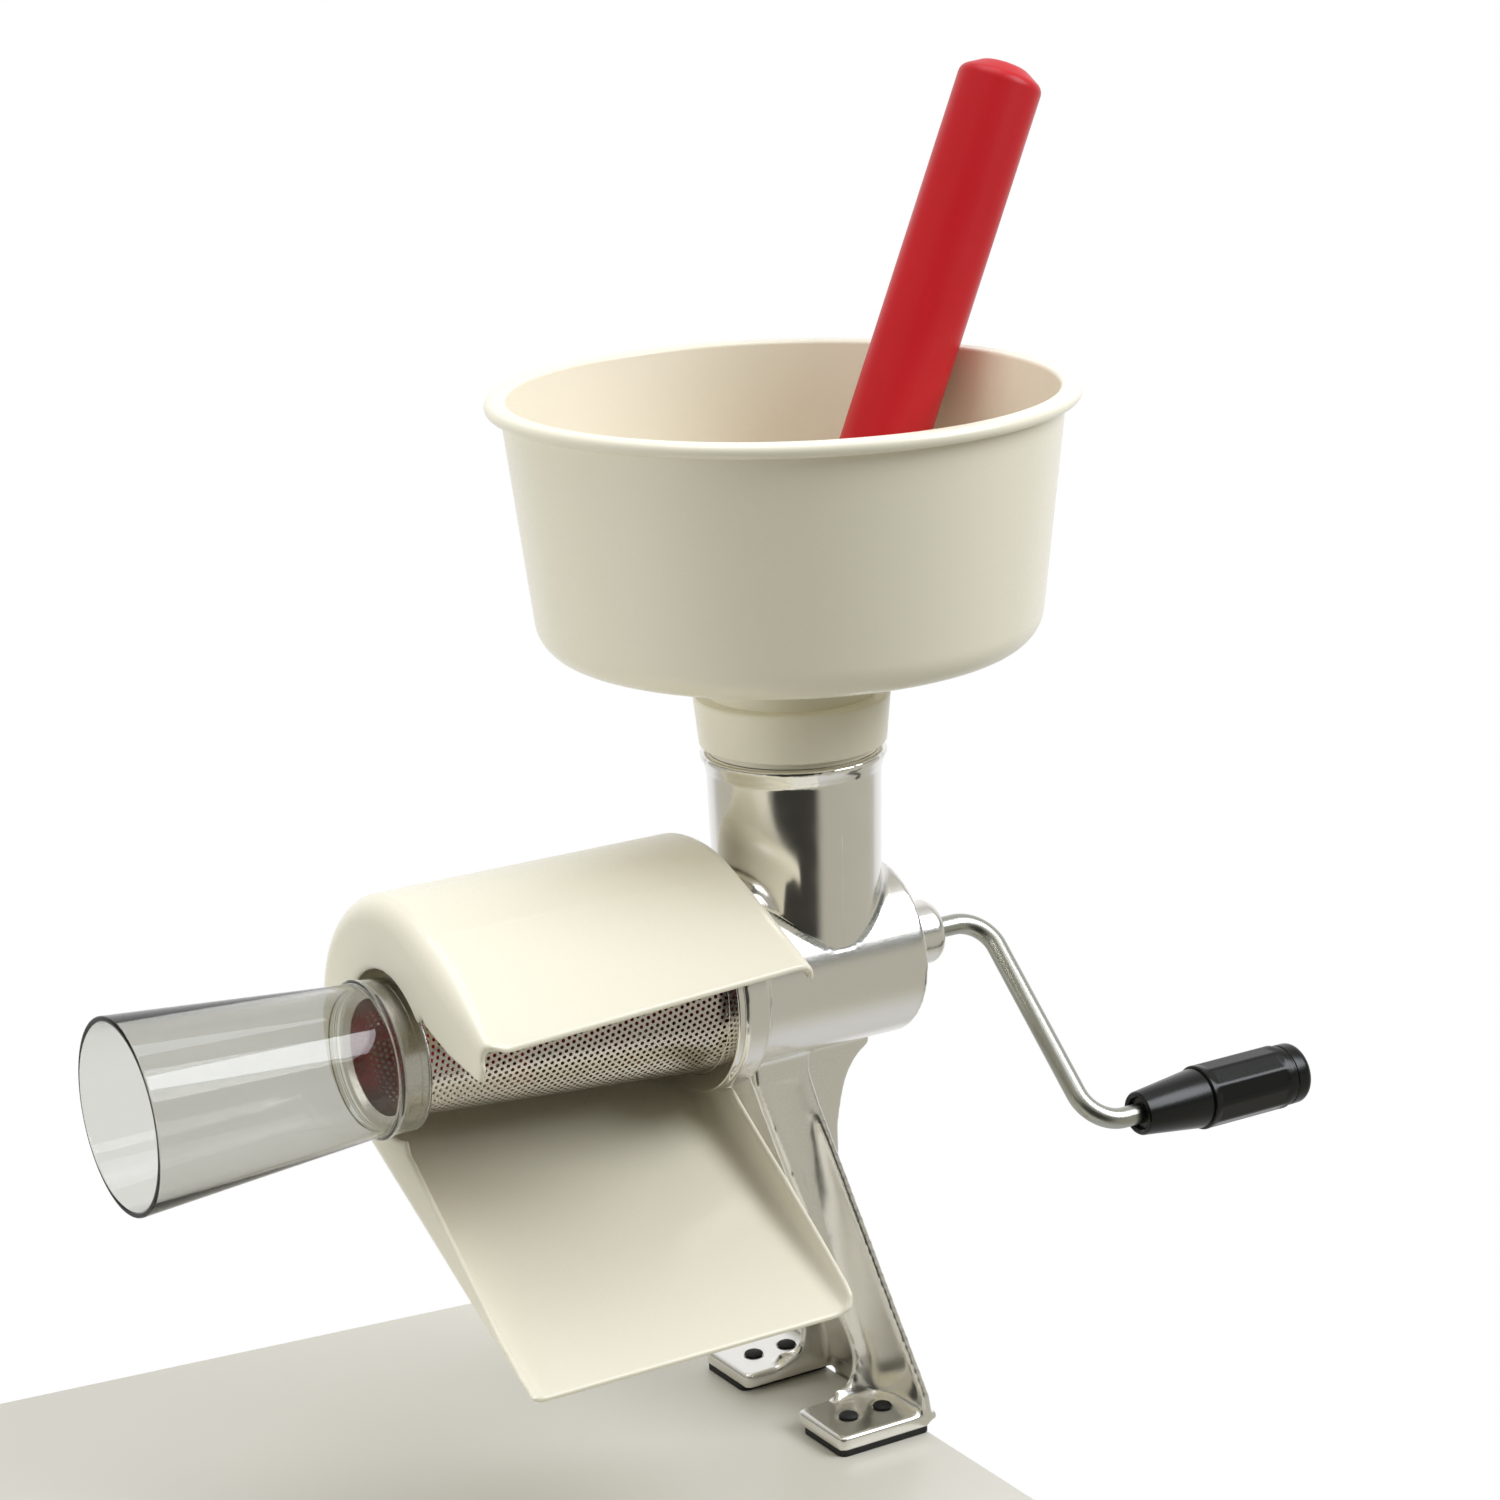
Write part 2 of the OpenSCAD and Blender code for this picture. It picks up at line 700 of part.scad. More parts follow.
// Clear end guard: a cone that widens to the front, with a socket for the tube's end
module squirt_guard() {
    bore = screen_radius + front_band_thickness + 0.1;
    slope = (guard_end_radius - guard_neck_radius) / (socket_front - guard_end);
    color([0.85, 0.9, 0.92, 0.5])
        difference() {
            along_barrel(guard_end)
                rotate_extrude()
                    polygon([[guard_end_radius - guard_wall, 0], [guard_end_radius, 0],
                             [guard_neck_radius, socket_front - guard_end],
                             [socket_flange_radius, socket_front - guard_end],
                             [socket_flange_radius, socket_front - guard_end + socket_flange],
                             [socket_radius, socket_front - guard_end + socket_flange],
                             [socket_radius, socket_rear - guard_end],
                             [bore, socket_rear - guard_end],
                             [bore, screen_front - guard_end - 0.4],
                             [guard_neck_radius + 2, screen_front - guard_end - 0.4],
                             [guard_neck_radius - guard_wall, socket_front - guard_end + 2]]);
            for (i = [0:lugs - 1])
                along_barrel(screen_front + 1.6)
                    rotate([0, 0, 60 + i * 360 / lugs])
                        translate([screen_radius, -lug_width / 2, 0])
                            cube([10, lug_width, socket_rear - screen_front]);
        }
}

// Half of the fold section at the hood's and tray's ends: depths below the outer face and
// distances from the end, for the outer face of a fold or, one wall further in, its inner one
function fold_points(r, wall) =
    concat([[fold_depth, wall]],
           [for (t = [0:15:90]) [fold_radius - r * sin(t), fold_radius - r * cos(t)]]);

// Whole section across the hood or tray, from end to end
function fold_section(r, wall) =
    let (half = fold_points(r, wall), last = len(half) - 1)
    concat(half, [for (i = [last:-1:0]) [half[i][0], chute_length - half[i][1]]]);

// Places along the hood and tray: a point on the outer face and the angle it faces
function chute_stations() =
    concat([[hood_edge, 90 + hood_slope]],
           [for (p = [0:24]) let (a = 90 + hood_slope + (back_angle - 90 - hood_slope) * p / 24)
               [crown_radius * [cos(a), sin(a)], a]],
           [for (p = [1:8]) let (a = back_angle + (back_end_angle - back_angle) * p / 8)
               [back_center + back_corner * [cos(a), sin(a)], a]],
           [[tray_edge, back_end_angle]]);

// Shell of the hood and tray: one wall swept from the hood's front edge to the tray's
module chute_shell() {
    outer = fold_section(fold_radius, 0);
    inner = fold_section(fold_radius - chute_wall, chute_wall);
    stations = chute_stations();
    ring = concat(outer, [for (i = [len(inner) - 1:-1:0]) inner[i]]);
    n = len(ring);
    half = n / 2;
    last = len(stations) - 1;
    points = [for (s = stations) for (q = ring)
                 [s[0][0] - q[0] * cos(s[1]), s[0][1] - q[0] * sin(s[1]), q[1]]];
    sides = [for (j = [0:last - 1]) for (i = [0:n - 1]) for (k = [0, 1])
                let (a = j * n + i, b = j * n + (i + 1) % n)
                k == 0 ? [a, b + n, b] : [a, a + n, b + n]];
    ends = [for (j = [0, last]) for (i = [0:half - 2]) for (k = [0, 1])
               let (a = j * n + i, b = j * n + n - 1 - i,
                    t = k == 0 ? [a, b, b - 1] : [a, b - 1, a + 1])
               j == last ? t : [t[0], t[2], t[1]]];
    polyhedron(points, concat(sides, ends), convexity = 6);
}

// Flat end of the hood and tray inside its folds
module chute_end(x) {
    section(x + 0.05, x + chute_wall - 0.05)
        polygon(chute_path(fold_radius + 0.8));
}

// Hood and tray in one moulding, open at the front between them
module chute() {
    color("ivory")
        translate(lift)
            difference() {
                union() {
                    translate([chute_left, 0, 0])
                        rotate([90, 0, 90])
                            chute_shell();
                    chute_end(chute_left);
                    chute_end(chute_right - chute_wall);
                }
                section(chute_left - 1, chute_left + fold_radius + 4)
                    circle(r = left_hole_radius);
                section(chute_left - 1, chute_left + fold_radius + 4)
                    polygon([[0, 0], [-29, 20], [-48, 14], [-65, 12], [-69.3, 11.5], [hood_front_y - 0.5, 23],
                             [-130, 23], [-130, -122], [-12.4, -33.8]]);
                section(chute_right - fold_radius - 4, chute_right + 1)
                    circle(r = right_hole_radius);
                section(chute_right - fold_radius - 4, chute_right + 1)
                    polygon([[0, 0], [-36.5, 15.5], [-42, 29.5], [-55, 27.9], [-74.8, 19.6], [-130, 19.6],
                             [-130, -97], [-93.4, -94.6], [-92.2, -90.6], [-89.4, -87.5], [-69.4, -73.3],
                             [-46.9, -58.2], [-33.8, -49.7], [-21.7, -41.5], [-14.3, -36.4]]);
            }
}

// Outer radius of the bowl's wall at a height
function bowl_radius(z) =
    bowl_low_radius + (bowl_top_radius - bowl_low_radius) * (z - bowl_bottom) / (rim_top - bowl_bottom);

module hopper_bowl() {
    taper = atan((bowl_top_radius - bowl_low_radius) / (rim_top - bowl_bottom));
    corner_z = bowl_bottom + bowl_corner;
    corner_r = bowl_radius(corner_z) - bowl_corner / cos(taper);
    floor_top = bowl_bottom + bowl_wall;
    spout_bore = spout_radius - bowl_wall;
    roll = rim_thickness / 2;
    color("ivory")
        translate(lift)
            rotate_extrude($fn = 96)
                polygon(concat([[spout_bore, spout_end], [spout_radius - 0.8, spout_end],
                                [spout_radius, spout_end + 2], [spout_radius, collar_top],
                                [throat_radius, collar_top], [throat_radius, bowl_bottom - 2],
                                [throat_radius + 2, bowl_bottom]],
                               arc(corner_r, corner_z, bowl_corner, -90, -taper, 7),
                               [[bowl_radius(rim_top - rim_thickness), rim_top - rim_thickness]],
                               arc(rim_radius - roll, rim_top - roll, roll, -90, 90, 8),
                               [[bowl_radius(rim_top) - bowl_wall + 1.5, rim_top],
                                [bowl_radius(rim_top) - bowl_wall, rim_top - 1.5]],
                               arc(corner_r, corner_z, bowl_corner - bowl_wall, -taper, -90, 7),
                               [[throat_radius + 6, floor_top], [throat_radius, floor_top - 1],
                                [spout_bore, floor_top - 5]]));
}

module hopper_collar() {
    low = collar_top - collar_height;
    color("ivory")
        translate(lift)
            rotate_extrude()
                polygon([[spout_radius, neck_top], [collar_foot_radius, neck_top], [collar_foot_radius, low],
                         [collar_low_radius - 1.2, low], [collar_low_radius, low + 1.2],
                         [collar_top_radius, collar_top - 1.6], [collar_top_radius - 0.4, collar_top - 0.4],
                         [collar_top_radius - 1.4, collar_top], [spout_radius, collar_top]]);
}

module plunger() {
    r = plunger_radius;
    edge = 4;
    color("firebrick")
        translate([plunger_x, plunger_y, axis_height + rim_top])
            rotate([0, plunger_lean, 0])
                rotate_extrude()
                    polygon(concat([[r - plunger_wall, -plunger_below], [r - 0.8, -plunger_below],
                                    [r, 0.8 - plunger_below]],
                                   arc(r - edge, plunger_above - plunger_dome + 1 - edge, edge, 0, 60, 5),
                                   [[r * 0.55, plunger_above - 1.6], [r * 0.3, plunger_above - 0.4],
                                    [0, plunger_above], [0, plunger_above - plunger_dome - 3],
                                    [r - plunger_wall, plunger_above - plunger_dome - 5]]));
}

// Rod of the crank, drawn flat and then turned about the barrel's axis
module crank_rod() {
    start = shaft_end - rod_depth;
    finish = cap_front + 0.8;
    color("silver")
        translate(lift)
            rotate([crank_angle, 0, 0]) {
                translate([start, 0, 0])
                    rotate([0, 90, 0])
                        cylinder(r = rod_radius, h = arm_x - hub_bend - start);
                translate([arm_x - hub_bend, hub_bend, 0])
                    rotate([0, 0, -90])
                        rotate_extrude(angle = 90)
                            translate([hub_bend, 0])
                                circle(r = rod_radius);
                translate([arm_x, hub_bend, 0])
                    rotate([-90, 0, 0])
                        cylinder(r = rod_radius, h = arm_length - hub_bend - grip_bend);
                translate([arm_x + grip_bend, arm_length - grip_bend, 0])
                    rotate([0, 0, 90])
                        rotate_extrude(angle = 90)
                            translate([grip_bend, 0])
                                circle(r = rod_radius);
                translate([arm_x + grip_bend, arm_length, 0])
                    rotate([0, 90, 0])
                        cylinder(r = rod_radius, h = finish - arm_x - grip_bend);
            }
}

// Places a body of revolution drawn upwards along the grip's axis
module along_grip(x) {
    translate([x, arm_length * cos(crank_angle), axis_height + arm_length * sin(crank_angle)])
        rotate([0, 90, 0])
            children();
}

module crank_grip() {
    bore = rod_radius + grip_play;
    color("dimgray")
        difference() {
            union() {
                along_grip(grip_front)
                    rotate_extrude()
                        polygon([[0, 0], [grip_front_radius - 0.8, 0], [grip_front_radius, 0.8],
                                 [cone_radius, cone_length - 0.8], [cone_radius - 0.6, cone_length + 0.2],
                                 [0, cone_length + 0.2]]);
                along_grip(sleeve_front)
                    intersection() {
                        cylinder(r = sleeve_radius, h = sleeve_length, $fn = sleeve_flats);
                        cylinder(r = sleeve_radius - 0.3, h = sleeve_length);
                    }
            }
            along_grip(grip_front - 1)
                cylinder(r = bore, h = cone_length + sleeve_length + 2);
            along_grip(grip_front - 1)
                cylinder(r = grip_front_radius - 2, h = 3);
            along_grip(cap_front - 3.6)
                cylinder(r = 7.6, h = 4);
        }
}

module grip_washer() {
    color("lightgray")
        along_grip(cap_front - 3.2)
            difference() {
                cylinder(r = 7, h = 1.6);
                translate([0, 0, -1])
                    cylinder(r = rod_radius, h = 4);
            }
}

module grip_cap() {
    edge = 3;
    groove = 0.5;
    color("dimgray")
        along_grip(cap_front)
            rotate_extrude()
                polygon(concat([[7.6, 0], [cap_radius, 0], [cap_radius, 2], [cap_radius - groove, 2.4],
                                [cap_radius - groove, 2.8], [cap_radius, 3.2]],
                               arc(cap_radius - edge, cap_length - edge, edge, 0, 90, 6),
                               [[0, cap_length], [0, cap_length - 3], [7.6, cap_length - 3]]));
}

module clamp_pad() {
    color("gray")
        translate([screw_x, 0, -pad_depth - clamp_pad_height])
            difference() {
                rotate_extrude()
                    polygon([[0, 0], [screw_radius + 3.4, 0], [screw_radius + 4, 2.5],
                             [clamp_pad_radius, clamp_pad_height - 3.2],
                             [clamp_pad_radius, clamp_pad_height - 0.4],
                             [clamp_pad_radius - 0.4, clamp_pad_height], [0, clamp_pad_height]]);
                translate([0, 0, -1])
                    cylinder(r = screw_radius + screw_play, h = clamp_pad_height - 3 + 1.1);
            }
}

module clamp_screw() {
    foot = -pad_depth - clamp_pad_height + 4 - screw_length;
    color("gray")
        difference() {
            union() {
                translate([screw_x, 0, foot])
                    cylinder(r = screw_radius, h = screw_length);
                translate([screw_x, 0, foot - screw_head_height])
                    rotate_extrude()
                        polygon([[0, 0], [screw_head_radius - 1, 0], [screw_head_radius, 1],
                                 [screw_head_radius, screw_head_height - 1],
                                 [screw_head_radius - 1, screw_head_height], [0, screw_head_height]]);
            }
            translate([screw_x, 0, foot - screw_head_height / 2])
                rotate([90, 0, 0])
                    cylinder(r = bar_radius, h = 3 * screw_head_radius, center = true);
        }
}

// Places a body along the clamp's turning bar
module along_bar() {
    translate([screw_x, 0, 4 - pad_depth - clamp_pad_height - screw_length - screw_head_height / 2])
        rotate([90, 0, 0])
            children();
}

module clamp_bar() {
    color("gray")
        along_bar()
            cylinder(r = bar_radius, h = bar_length, center = true);
}

module clamp_bar_caps() {
    color("dimgray")
        for (side = [0, 180])
            along_bar()
                rotate([side, 0, 0])
                    translate([0, 0, bar_length / 2 - 5])
                        rotate_extrude()
                            polygon([[bar_radius, 0], [bar_radius + 1.6, 0], [bar_radius + 2, 0.6],
                                     [bar_radius + 2, 5.5], [bar_radius + 1, 7], [bar_radius - 1, 7.6],
                                     [0, 7.6], [0, 5], [bar_radius, 5]]);
}

body_casting();
foot_pad_near();
foot_pad_far();
drive_bushing();
shaft_seal();
thrust_washer();
drive_shaft();
auger();
seat_ring();
screen_tube();
screen_rear_band();
screen_front_band();
squirt_guard();
chute();
hopper_bowl();
hopper_collar();
plunger();
crank_rod();
crank_grip();
grip_washer();
grip_cap();
clamp_pad();
clamp_screw();
clamp_bar();
clamp_bar_caps();
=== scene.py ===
"""Looks of the hand-cranked food mill: finishes, turned, cast, punched and swept pieces, and the stage."""
import json
import math

import bmesh
import bpy
import numpy as np
from mathutils import Matrix, Vector


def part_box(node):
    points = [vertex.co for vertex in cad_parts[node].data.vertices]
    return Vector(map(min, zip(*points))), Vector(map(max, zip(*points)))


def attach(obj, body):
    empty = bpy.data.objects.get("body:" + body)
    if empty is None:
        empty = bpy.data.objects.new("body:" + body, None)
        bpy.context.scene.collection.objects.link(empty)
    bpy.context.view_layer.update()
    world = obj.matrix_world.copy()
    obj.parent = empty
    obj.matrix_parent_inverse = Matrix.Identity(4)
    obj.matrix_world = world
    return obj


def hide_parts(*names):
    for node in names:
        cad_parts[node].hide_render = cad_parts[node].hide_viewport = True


bl_info = {
    "name": "Food Mill",
    "version": (1, 0, 0),
    "blender": (4, 5, 0),
    "location": "View3D > Sidebar > Food Mill",
    "description": "Dresses the hand-cranked food mill and sets its stage",
    "category": "Object",
}

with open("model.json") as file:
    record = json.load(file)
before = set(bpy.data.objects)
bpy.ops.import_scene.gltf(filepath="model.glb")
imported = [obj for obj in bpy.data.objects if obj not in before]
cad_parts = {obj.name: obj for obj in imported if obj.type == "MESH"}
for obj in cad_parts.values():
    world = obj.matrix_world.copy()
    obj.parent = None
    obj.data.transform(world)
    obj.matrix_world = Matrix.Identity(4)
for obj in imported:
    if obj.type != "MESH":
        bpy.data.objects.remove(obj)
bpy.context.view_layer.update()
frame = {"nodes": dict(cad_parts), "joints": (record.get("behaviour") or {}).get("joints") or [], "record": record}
MM = 0.001
JOINTS = {joint["name"]: joint for joint in frame["joints"]}
AXIS_Z = JOINTS["crank_turn"]["pos_m"][2]
GRIP_Y, GRIP_Z = JOINTS["grip_spin"]["pos_m"][1:3]
PLUNGER_WAY = Vector(JOINTS["plunger_lift"]["axis"])


def low(node, axis):
    """Lowest coordinate of a node along an axis, in mm."""
    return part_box(node)[0][axis] / MM


def high(node, axis):
    """Highest coordinate of a node along an axis, in mm."""
    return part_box(node)[1][axis] / MM


# In mm: the barrel's axis, the ends and the end radii of the tapered tube, and the bowl's floor
AXIS_MM = AXIS_Z / MM
TUBE_FRONT, TUBE_REAR = low("screen_tube", 0), high("screen_tube", 0)
TUBE_WIDE, TUBE_NARROW = high("screen_tube", 1), 21.8
BOWL_FLOOR = high("body_casting", 2) + 38.8

# A turned piece is drawn along Z in mm and then placed by one of these
UPRIGHT = Matrix.Scale(MM, 4)
ALONG_BARREL = Matrix.Translation((0, 0, AXIS_Z)) @ Matrix.Rotation(math.radians(90), 4, "Y") @ UPRIGHT
ALONG_GRIP = Matrix.Translation((0, GRIP_Y, GRIP_Z)) @ Matrix.Rotation(math.radians(90), 4, "Y") @ UPRIGHT


# -------- settings

def linear(code):
    """Turns an sRGB hex colour into a linear one."""
    parts = [int(code[i:i + 2], 16) / 255 for i in (1, 3, 5)]
    return [c / 12.92 if c <= 0.04045 else ((c + 0.055) / 1.055) ** 2.4 for c in parts] + [1.0]


def tint(title, code):
    """A colour that a user can change."""
    return bpy.props.FloatVectorProperty(name=title, description=f"Colour of the {title.lower()}",
                                         default=linear(code), size=4, subtype="COLOR", min=0, max=1)


def size(title, text, value, least=0.0, most=1.0):
    """A length that a user can change, in metres."""
    return bpy.props.FloatProperty(name=title, description=text, default=value, min=least, max=most,
                                   unit="LENGTH", precision=5)


class MillColours(bpy.types.PropertyGroup):
    """Base colours of the mill's finishes."""

    cream: tint("Cream plastic", "#EBE6D2")
    red: tint("Red plastic", "#BA2027")
    casting: tint("Cast aluminium", "#F0EEE9")
    sheet: tint("Punched sheet", "#D2CDC5")
    plated: tint("Plated rod", "#B6B7AF")
    zinc: tint("Zinc plating", "#BCBEC0")
    rubber: tint("Rubber", "#1A1A19")
    black: tint("Black plastic", "#0D0E0D")
    acetal: tint("Bearing plastic", "#E6E4DC")
    table: tint("Table", "#D0CDC2")


class MillSizes(bpy.types.PropertyGroup):
    """Sizes of the details that the looks add."""

    hole_width: size("Hole width", "Width of one punched hole", 0.00145, 0.0005, 0.002)
    rim_roll: size("Rim roll", "Thickness of the bowl's rolled rim", 0.005, 0.002, 0.008)
    skin: size("Skin detail", "Spacing of the cast and moulded skins' mesh", 0.0009, 0.0005, 0.003)
    rod: size("Rod radius", "Radius of the crank's rod", 0.0039, 0.002, 0.006)
    thread: size("Thread pitch", "Pitch of the clamp screw", 0.003, 0.001, 0.005)


# -------- finishes

def add(tree, kind, links=(), **settings):
    """Adds one node with its settings, and links: (input, source node, source output)."""
    node = tree.nodes.new(kind)
    for name, value in settings.items():
        if hasattr(node, name):
            setattr(node, name, value)
        else:
            node.inputs[name.replace("_", " ")].default_value = value
    for target, source, output in links:
        tree.links.new(source.outputs[output], node.inputs[target])
    return node


def material(name, **settings):
    """Starts a node material and returns it with its tree and its Principled shader."""
    made = bpy.data.materials.new(name)
    made.use_nodes = True
    tree = made.node_tree
    tree.nodes.clear()
    shader = add(tree, "ShaderNodeBsdfPrincipled", **settings)
    add(tree, "ShaderNodeOutputMaterial", [("Surface", shader, 0)])
    return made, tree, shader


def shade(colour, factor):
    """A colour made darker or lighter."""
    return [min(1.0, c * factor) for c in colour[:3]] + [1.0]


def grain(tree, shader, spacing, roughness, tones=None, relief=0.0, stretch=(1, 1, 1)):
    """Lets roughness, colour and relief wander with a noise whose grain has a real size in mm."""
    where = add(tree, "ShaderNodeTexCoord")
    place = add(tree, "ShaderNodeMapping", [("Vector", where, "Object")], Scale=stretch)
    noise = add(tree, "ShaderNodeTexNoise", [("Vector", place, 0)], Scale=1 / (spacing * MM), Detail=0.0)
    rough = add(tree, "ShaderNodeMapRange", [("Value", noise, "Fac")], From_Min=0.2, From_Max=0.8,
                To_Min=roughness[0], To_Max=roughness[1])
    tree.links.new(rough.outputs[0], shader.inputs["Roughness"])
    if tones:
        ramp = add(tree, "ShaderNodeValToRGB", [("Fac", noise, "Fac")])
        ramp.color_ramp.interpolation = "EASE"
        for mark, spot, tone in zip(ramp.color_ramp.elements, (0.2, 0.8), tones):
            mark.position = spot
            mark.color = tone
        tree.links.new(ramp.outputs[0], shader.inputs["Base Color"])
    if relief:
        bump = add(tree, "ShaderNodeBump", [("Height", noise, "Fac")], Strength=1.0, Distance=relief * MM)
        tree.links.new(bump.outputs[0], shader.inputs["Normal"])


def moulded(name, colour, roughness, spacing=25, relief=0.012, contrast=0.004, gloss=0.5):
    """Plastic or rubber: an even colour, a gloss that hardly wanders and, where asked, a slight relief."""
    made, tree, shader = material(name, IOR=1.5, Specular_IOR_Level=gloss)
    tones = (shade(colour, 1 - contrast), shade(colour, 1 + contrast)) if contrast else None
    shader.inputs["Base Color"].default_value = colour
    grain(tree, shader, spacing, roughness, tones, relief)
    return made


def metal(name, colour, roughness, spacing, relief=0.0, contrast=0.01, stretch=(1, 1, 1)):
    """Bare metal: its tint, and a roughness that wanders with how its surface was made."""
    made, tree, shader = material(name, Metallic=1.0)
    grain(tree, shader, spacing, roughness, (shade(colour, 1 - contrast), shade(colour, 1 + contrast)),
          relief, stretch)
    return made


def clear(name):
    """Clear polystyrene, moulded: it tints thick edges grey and keeps sharp highlights."""
    made, tree, shader = material(name, IOR=1.42, Transmission_Weight=1.0)
    shader.inputs["Base Color"].default_value = linear("#D9D9D4")
    grain(tree, shader, 40, (0.0, 0.02), None, 0.01)
    return made


def make_materials(tints):
    """Makes every finish of the mill once."""
    return {
        # ABS, moulded: warm cream with a soft gloss
        "cream": moulded("moulded_cream_abs", tints.cream, (0.26, 0.3), 0.15, 0, 0),
        # polypropylene, moulded: clean red with a waxy gloss
        "red": moulded("moulded_red_polypropylene", tints.red, (0.3, 0.4), gloss=0.22),
        # aluminium, cast and polished: mirror bands softened by the casting's faint waves
        "casting": metal("polished_cast_aluminium", tints.casting, (0.10, 0.16), 9, 0.012),
        # aluminium, cast and belt-ground: fine streaks along the barrel that blur what it mirrors
        "ground": metal("ground_cast_aluminium", tints.casting, (0.18, 0.26), 0.2, stretch=(0.12, 1, 1)),
        # aluminium, cast and tumbled: a fine even satin
        "tumbled": metal("tumbled_cast_aluminium", tints.casting, (0.2, 0.28), 0.15),
        # aluminium, turned on a lathe: as bright as the casting, without its waves
        "turned": metal("turned_aluminium", tints.casting, (0.10, 0.15), 4),
        # stainless sheet, punched: slightly dull from rolling
        "sheet": metal("punched_stainless_sheet", tints.sheet, (0.22, 0.30), 0.15),
        # steel rod, bent and nickel plated: an even soft grey
        "plated": metal("plated_steel_rod", tints.plated, (0.28, 0.34), 0.15),
        # steel, zinc plated: dull and slightly cloudy
        "zinc": metal("zinc_plated_steel", tints.zinc, (0.3, 0.42), 6, 0.004),
        # nitrile rubber, moulded: matt black with a fine grain
        "rubber": moulded("moulded_black_rubber", tints.rubber, (0.6, 0.8), 1.5, 0.03, 0.15),
        # phenolic plastic, moulded: black with a satin gloss
        "black": moulded("moulded_black_phenolic", tints.black, (0.22, 0.3), 0.15, 0, 0.03, 0.35),
        # acetal, turned: off-white bearing stock
        "acetal": moulded("turned_white_acetal", tints.acetal, (0.35, 0.5), 3, 0.005),
        "clear": clear("moulded_clear_styrene"),
    }


FINISHES = {}


# -------- building

def link(name, data):
    """Makes an object of a mesh, light or camera and links it."""
    made = bpy.data.objects.new(name, data)
    bpy.context.scene.collection.objects.link(made)
    return made


def edited(mesh, change):
    """Edits a mesh by a function that gets it opened as a bmesh."""
    work = bmesh.new()
    work.from_mesh(mesh)
    change(work)
    work.to_mesh(mesh)
    work.free()


def merged(obj, others):
    """Adds the faces of other objects to an object, and removes those objects."""
    edited(obj.data, lambda work: [work.from_mesh(other.data) for other in others])
    for other in others:
        bpy.data.objects.remove(other)
    return obj


def points_of(mesh):
    """A mesh's points as rows, in metres."""
    at = np.empty(len(mesh.vertices) * 3)
    mesh.vertices.foreach_get("co", at)
    return at.reshape(-1, 3)


def move_points(mesh, at):
    """Puts a mesh's points at new places, given in mm."""
    mesh.vertices.foreach_set("co", (at * MM).ravel())
    mesh.update()


def circle(count):
    """Angles of evenly spaced points round a circle."""
    return [2 * math.pi * k / count for k in range(count)]


def baked(obj):
    """Applies an object's modifiers."""
    obj.data = bpy.data.meshes.new_from_object(obj.evaluated_get(bpy.context.evaluated_depsgraph_get()))
    obj.modifiers.clear()
    return obj


def shaded(obj, sharp=35):
    """Smooth shading that keeps edges sharper than an angle."""
    obj.data.shade_smooth()
    obj.data.set_sharp_from_angle(angle=math.radians(sharp))
    return obj


def dressed(obj, key, node=None):
    """Gives a piece its finish and, if it stands for a CAD node, that node's body, and hides the node."""
    if not FINISHES:
        FINISHES.update(make_materials(bpy.context.scene.mill_colours))
    obj.data.materials.clear()
    obj.data.materials.append(FINISHES[key])
    if node:
        ride(obj, node)
        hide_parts(node)
    return obj


def ride(obj, node):
    """Lets a piece ride with a node's body."""
    record = frame["record"]
    bodies = record["behaviour"]["bodies"]
    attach(obj, next(body for body, nodes in bodies.items() if node in nodes))
    return obj


def soften(outline, step=11):
    """Rounds a closed outline: each corner is (radius, height) or (radius, height, rounding) in mm."""
    points = []
    for i, corner in enumerate(outline):
        here = Vector(corner[:2])
        if len(corner) < 3:
            points.append(here)
            continue
        back = Vector(outline[i - 1][:2]) - here
        on = Vector(outline[(i + 1) % len(outline)][:2]) - here
        half = back.angle(on) / 2
        cut = min(corner[2] / math.tan(half), 0.49 * back.length, 0.49 * on.length)
        middle = here + (back.normalized() + on.normalized()).normalized() * cut / math.cos(half)
        start = here + back.normalized() * cut - middle
        end = here + on.normalized() * cut - middle
        turn = math.pi - 2 * half
        count = max(2, math.ceil(math.degrees(turn) / step))
        for j in range(count + 1):
            t = j / count
            arm = start * math.sin((1 - t) * turn) + end * math.sin(t * turn)
            points.append(middle + arm / math.sin(turn))
    return points


def grid(name, rings, place=UPRIGHT, closed=True, caps=False):
    """Joins rings of points into one mesh, and if closed also the last ring to the first."""
    count, tall = len(rings[0]), len(rings)
    mesh = bpy.data.meshes.new(name)
    faces = [(j * count + i, j * count + (i + 1) % count, (j + 1) % tall * count + (i + 1) % count,
              (j + 1) % tall * count + i) for j in range(tall if closed else tall - 1) for i in range(count)]
    if caps:
        faces += [tuple(range(count - 1, -1, -1)), tuple(range((tall - 1) * count, tall * count))]
    mesh.from_pydata([point for ring in rings for point in ring], [], faces)

    def close(work):
        bmesh.ops.remove_doubles(work, verts=work.verts, dist=1e-5)
        bmesh.ops.recalc_face_normals(work, faces=work.faces)

    edited(mesh, close)
    mesh.transform(place)
    return link(name, mesh)


def turned(name, outline, place=UPRIGHT, steps=128, step=11):
    """Turns a closed outline about an axis."""
    rings = [[(p[0] * math.cos(a), p[0] * math.sin(a), p[1]) for a in circle(steps)]
             for p in soften(outline, step)]
    return grid(name, rings, place)


def copy_of(name, node):
    """A copy of a CAD node's mesh as closed sheets."""
    mesh = frame["nodes"][node].data.copy()
    edited(mesh, lambda work: bmesh.ops.remove_doubles(work, verts=work.verts, dist=1e-6))
    return link(name, mesh)


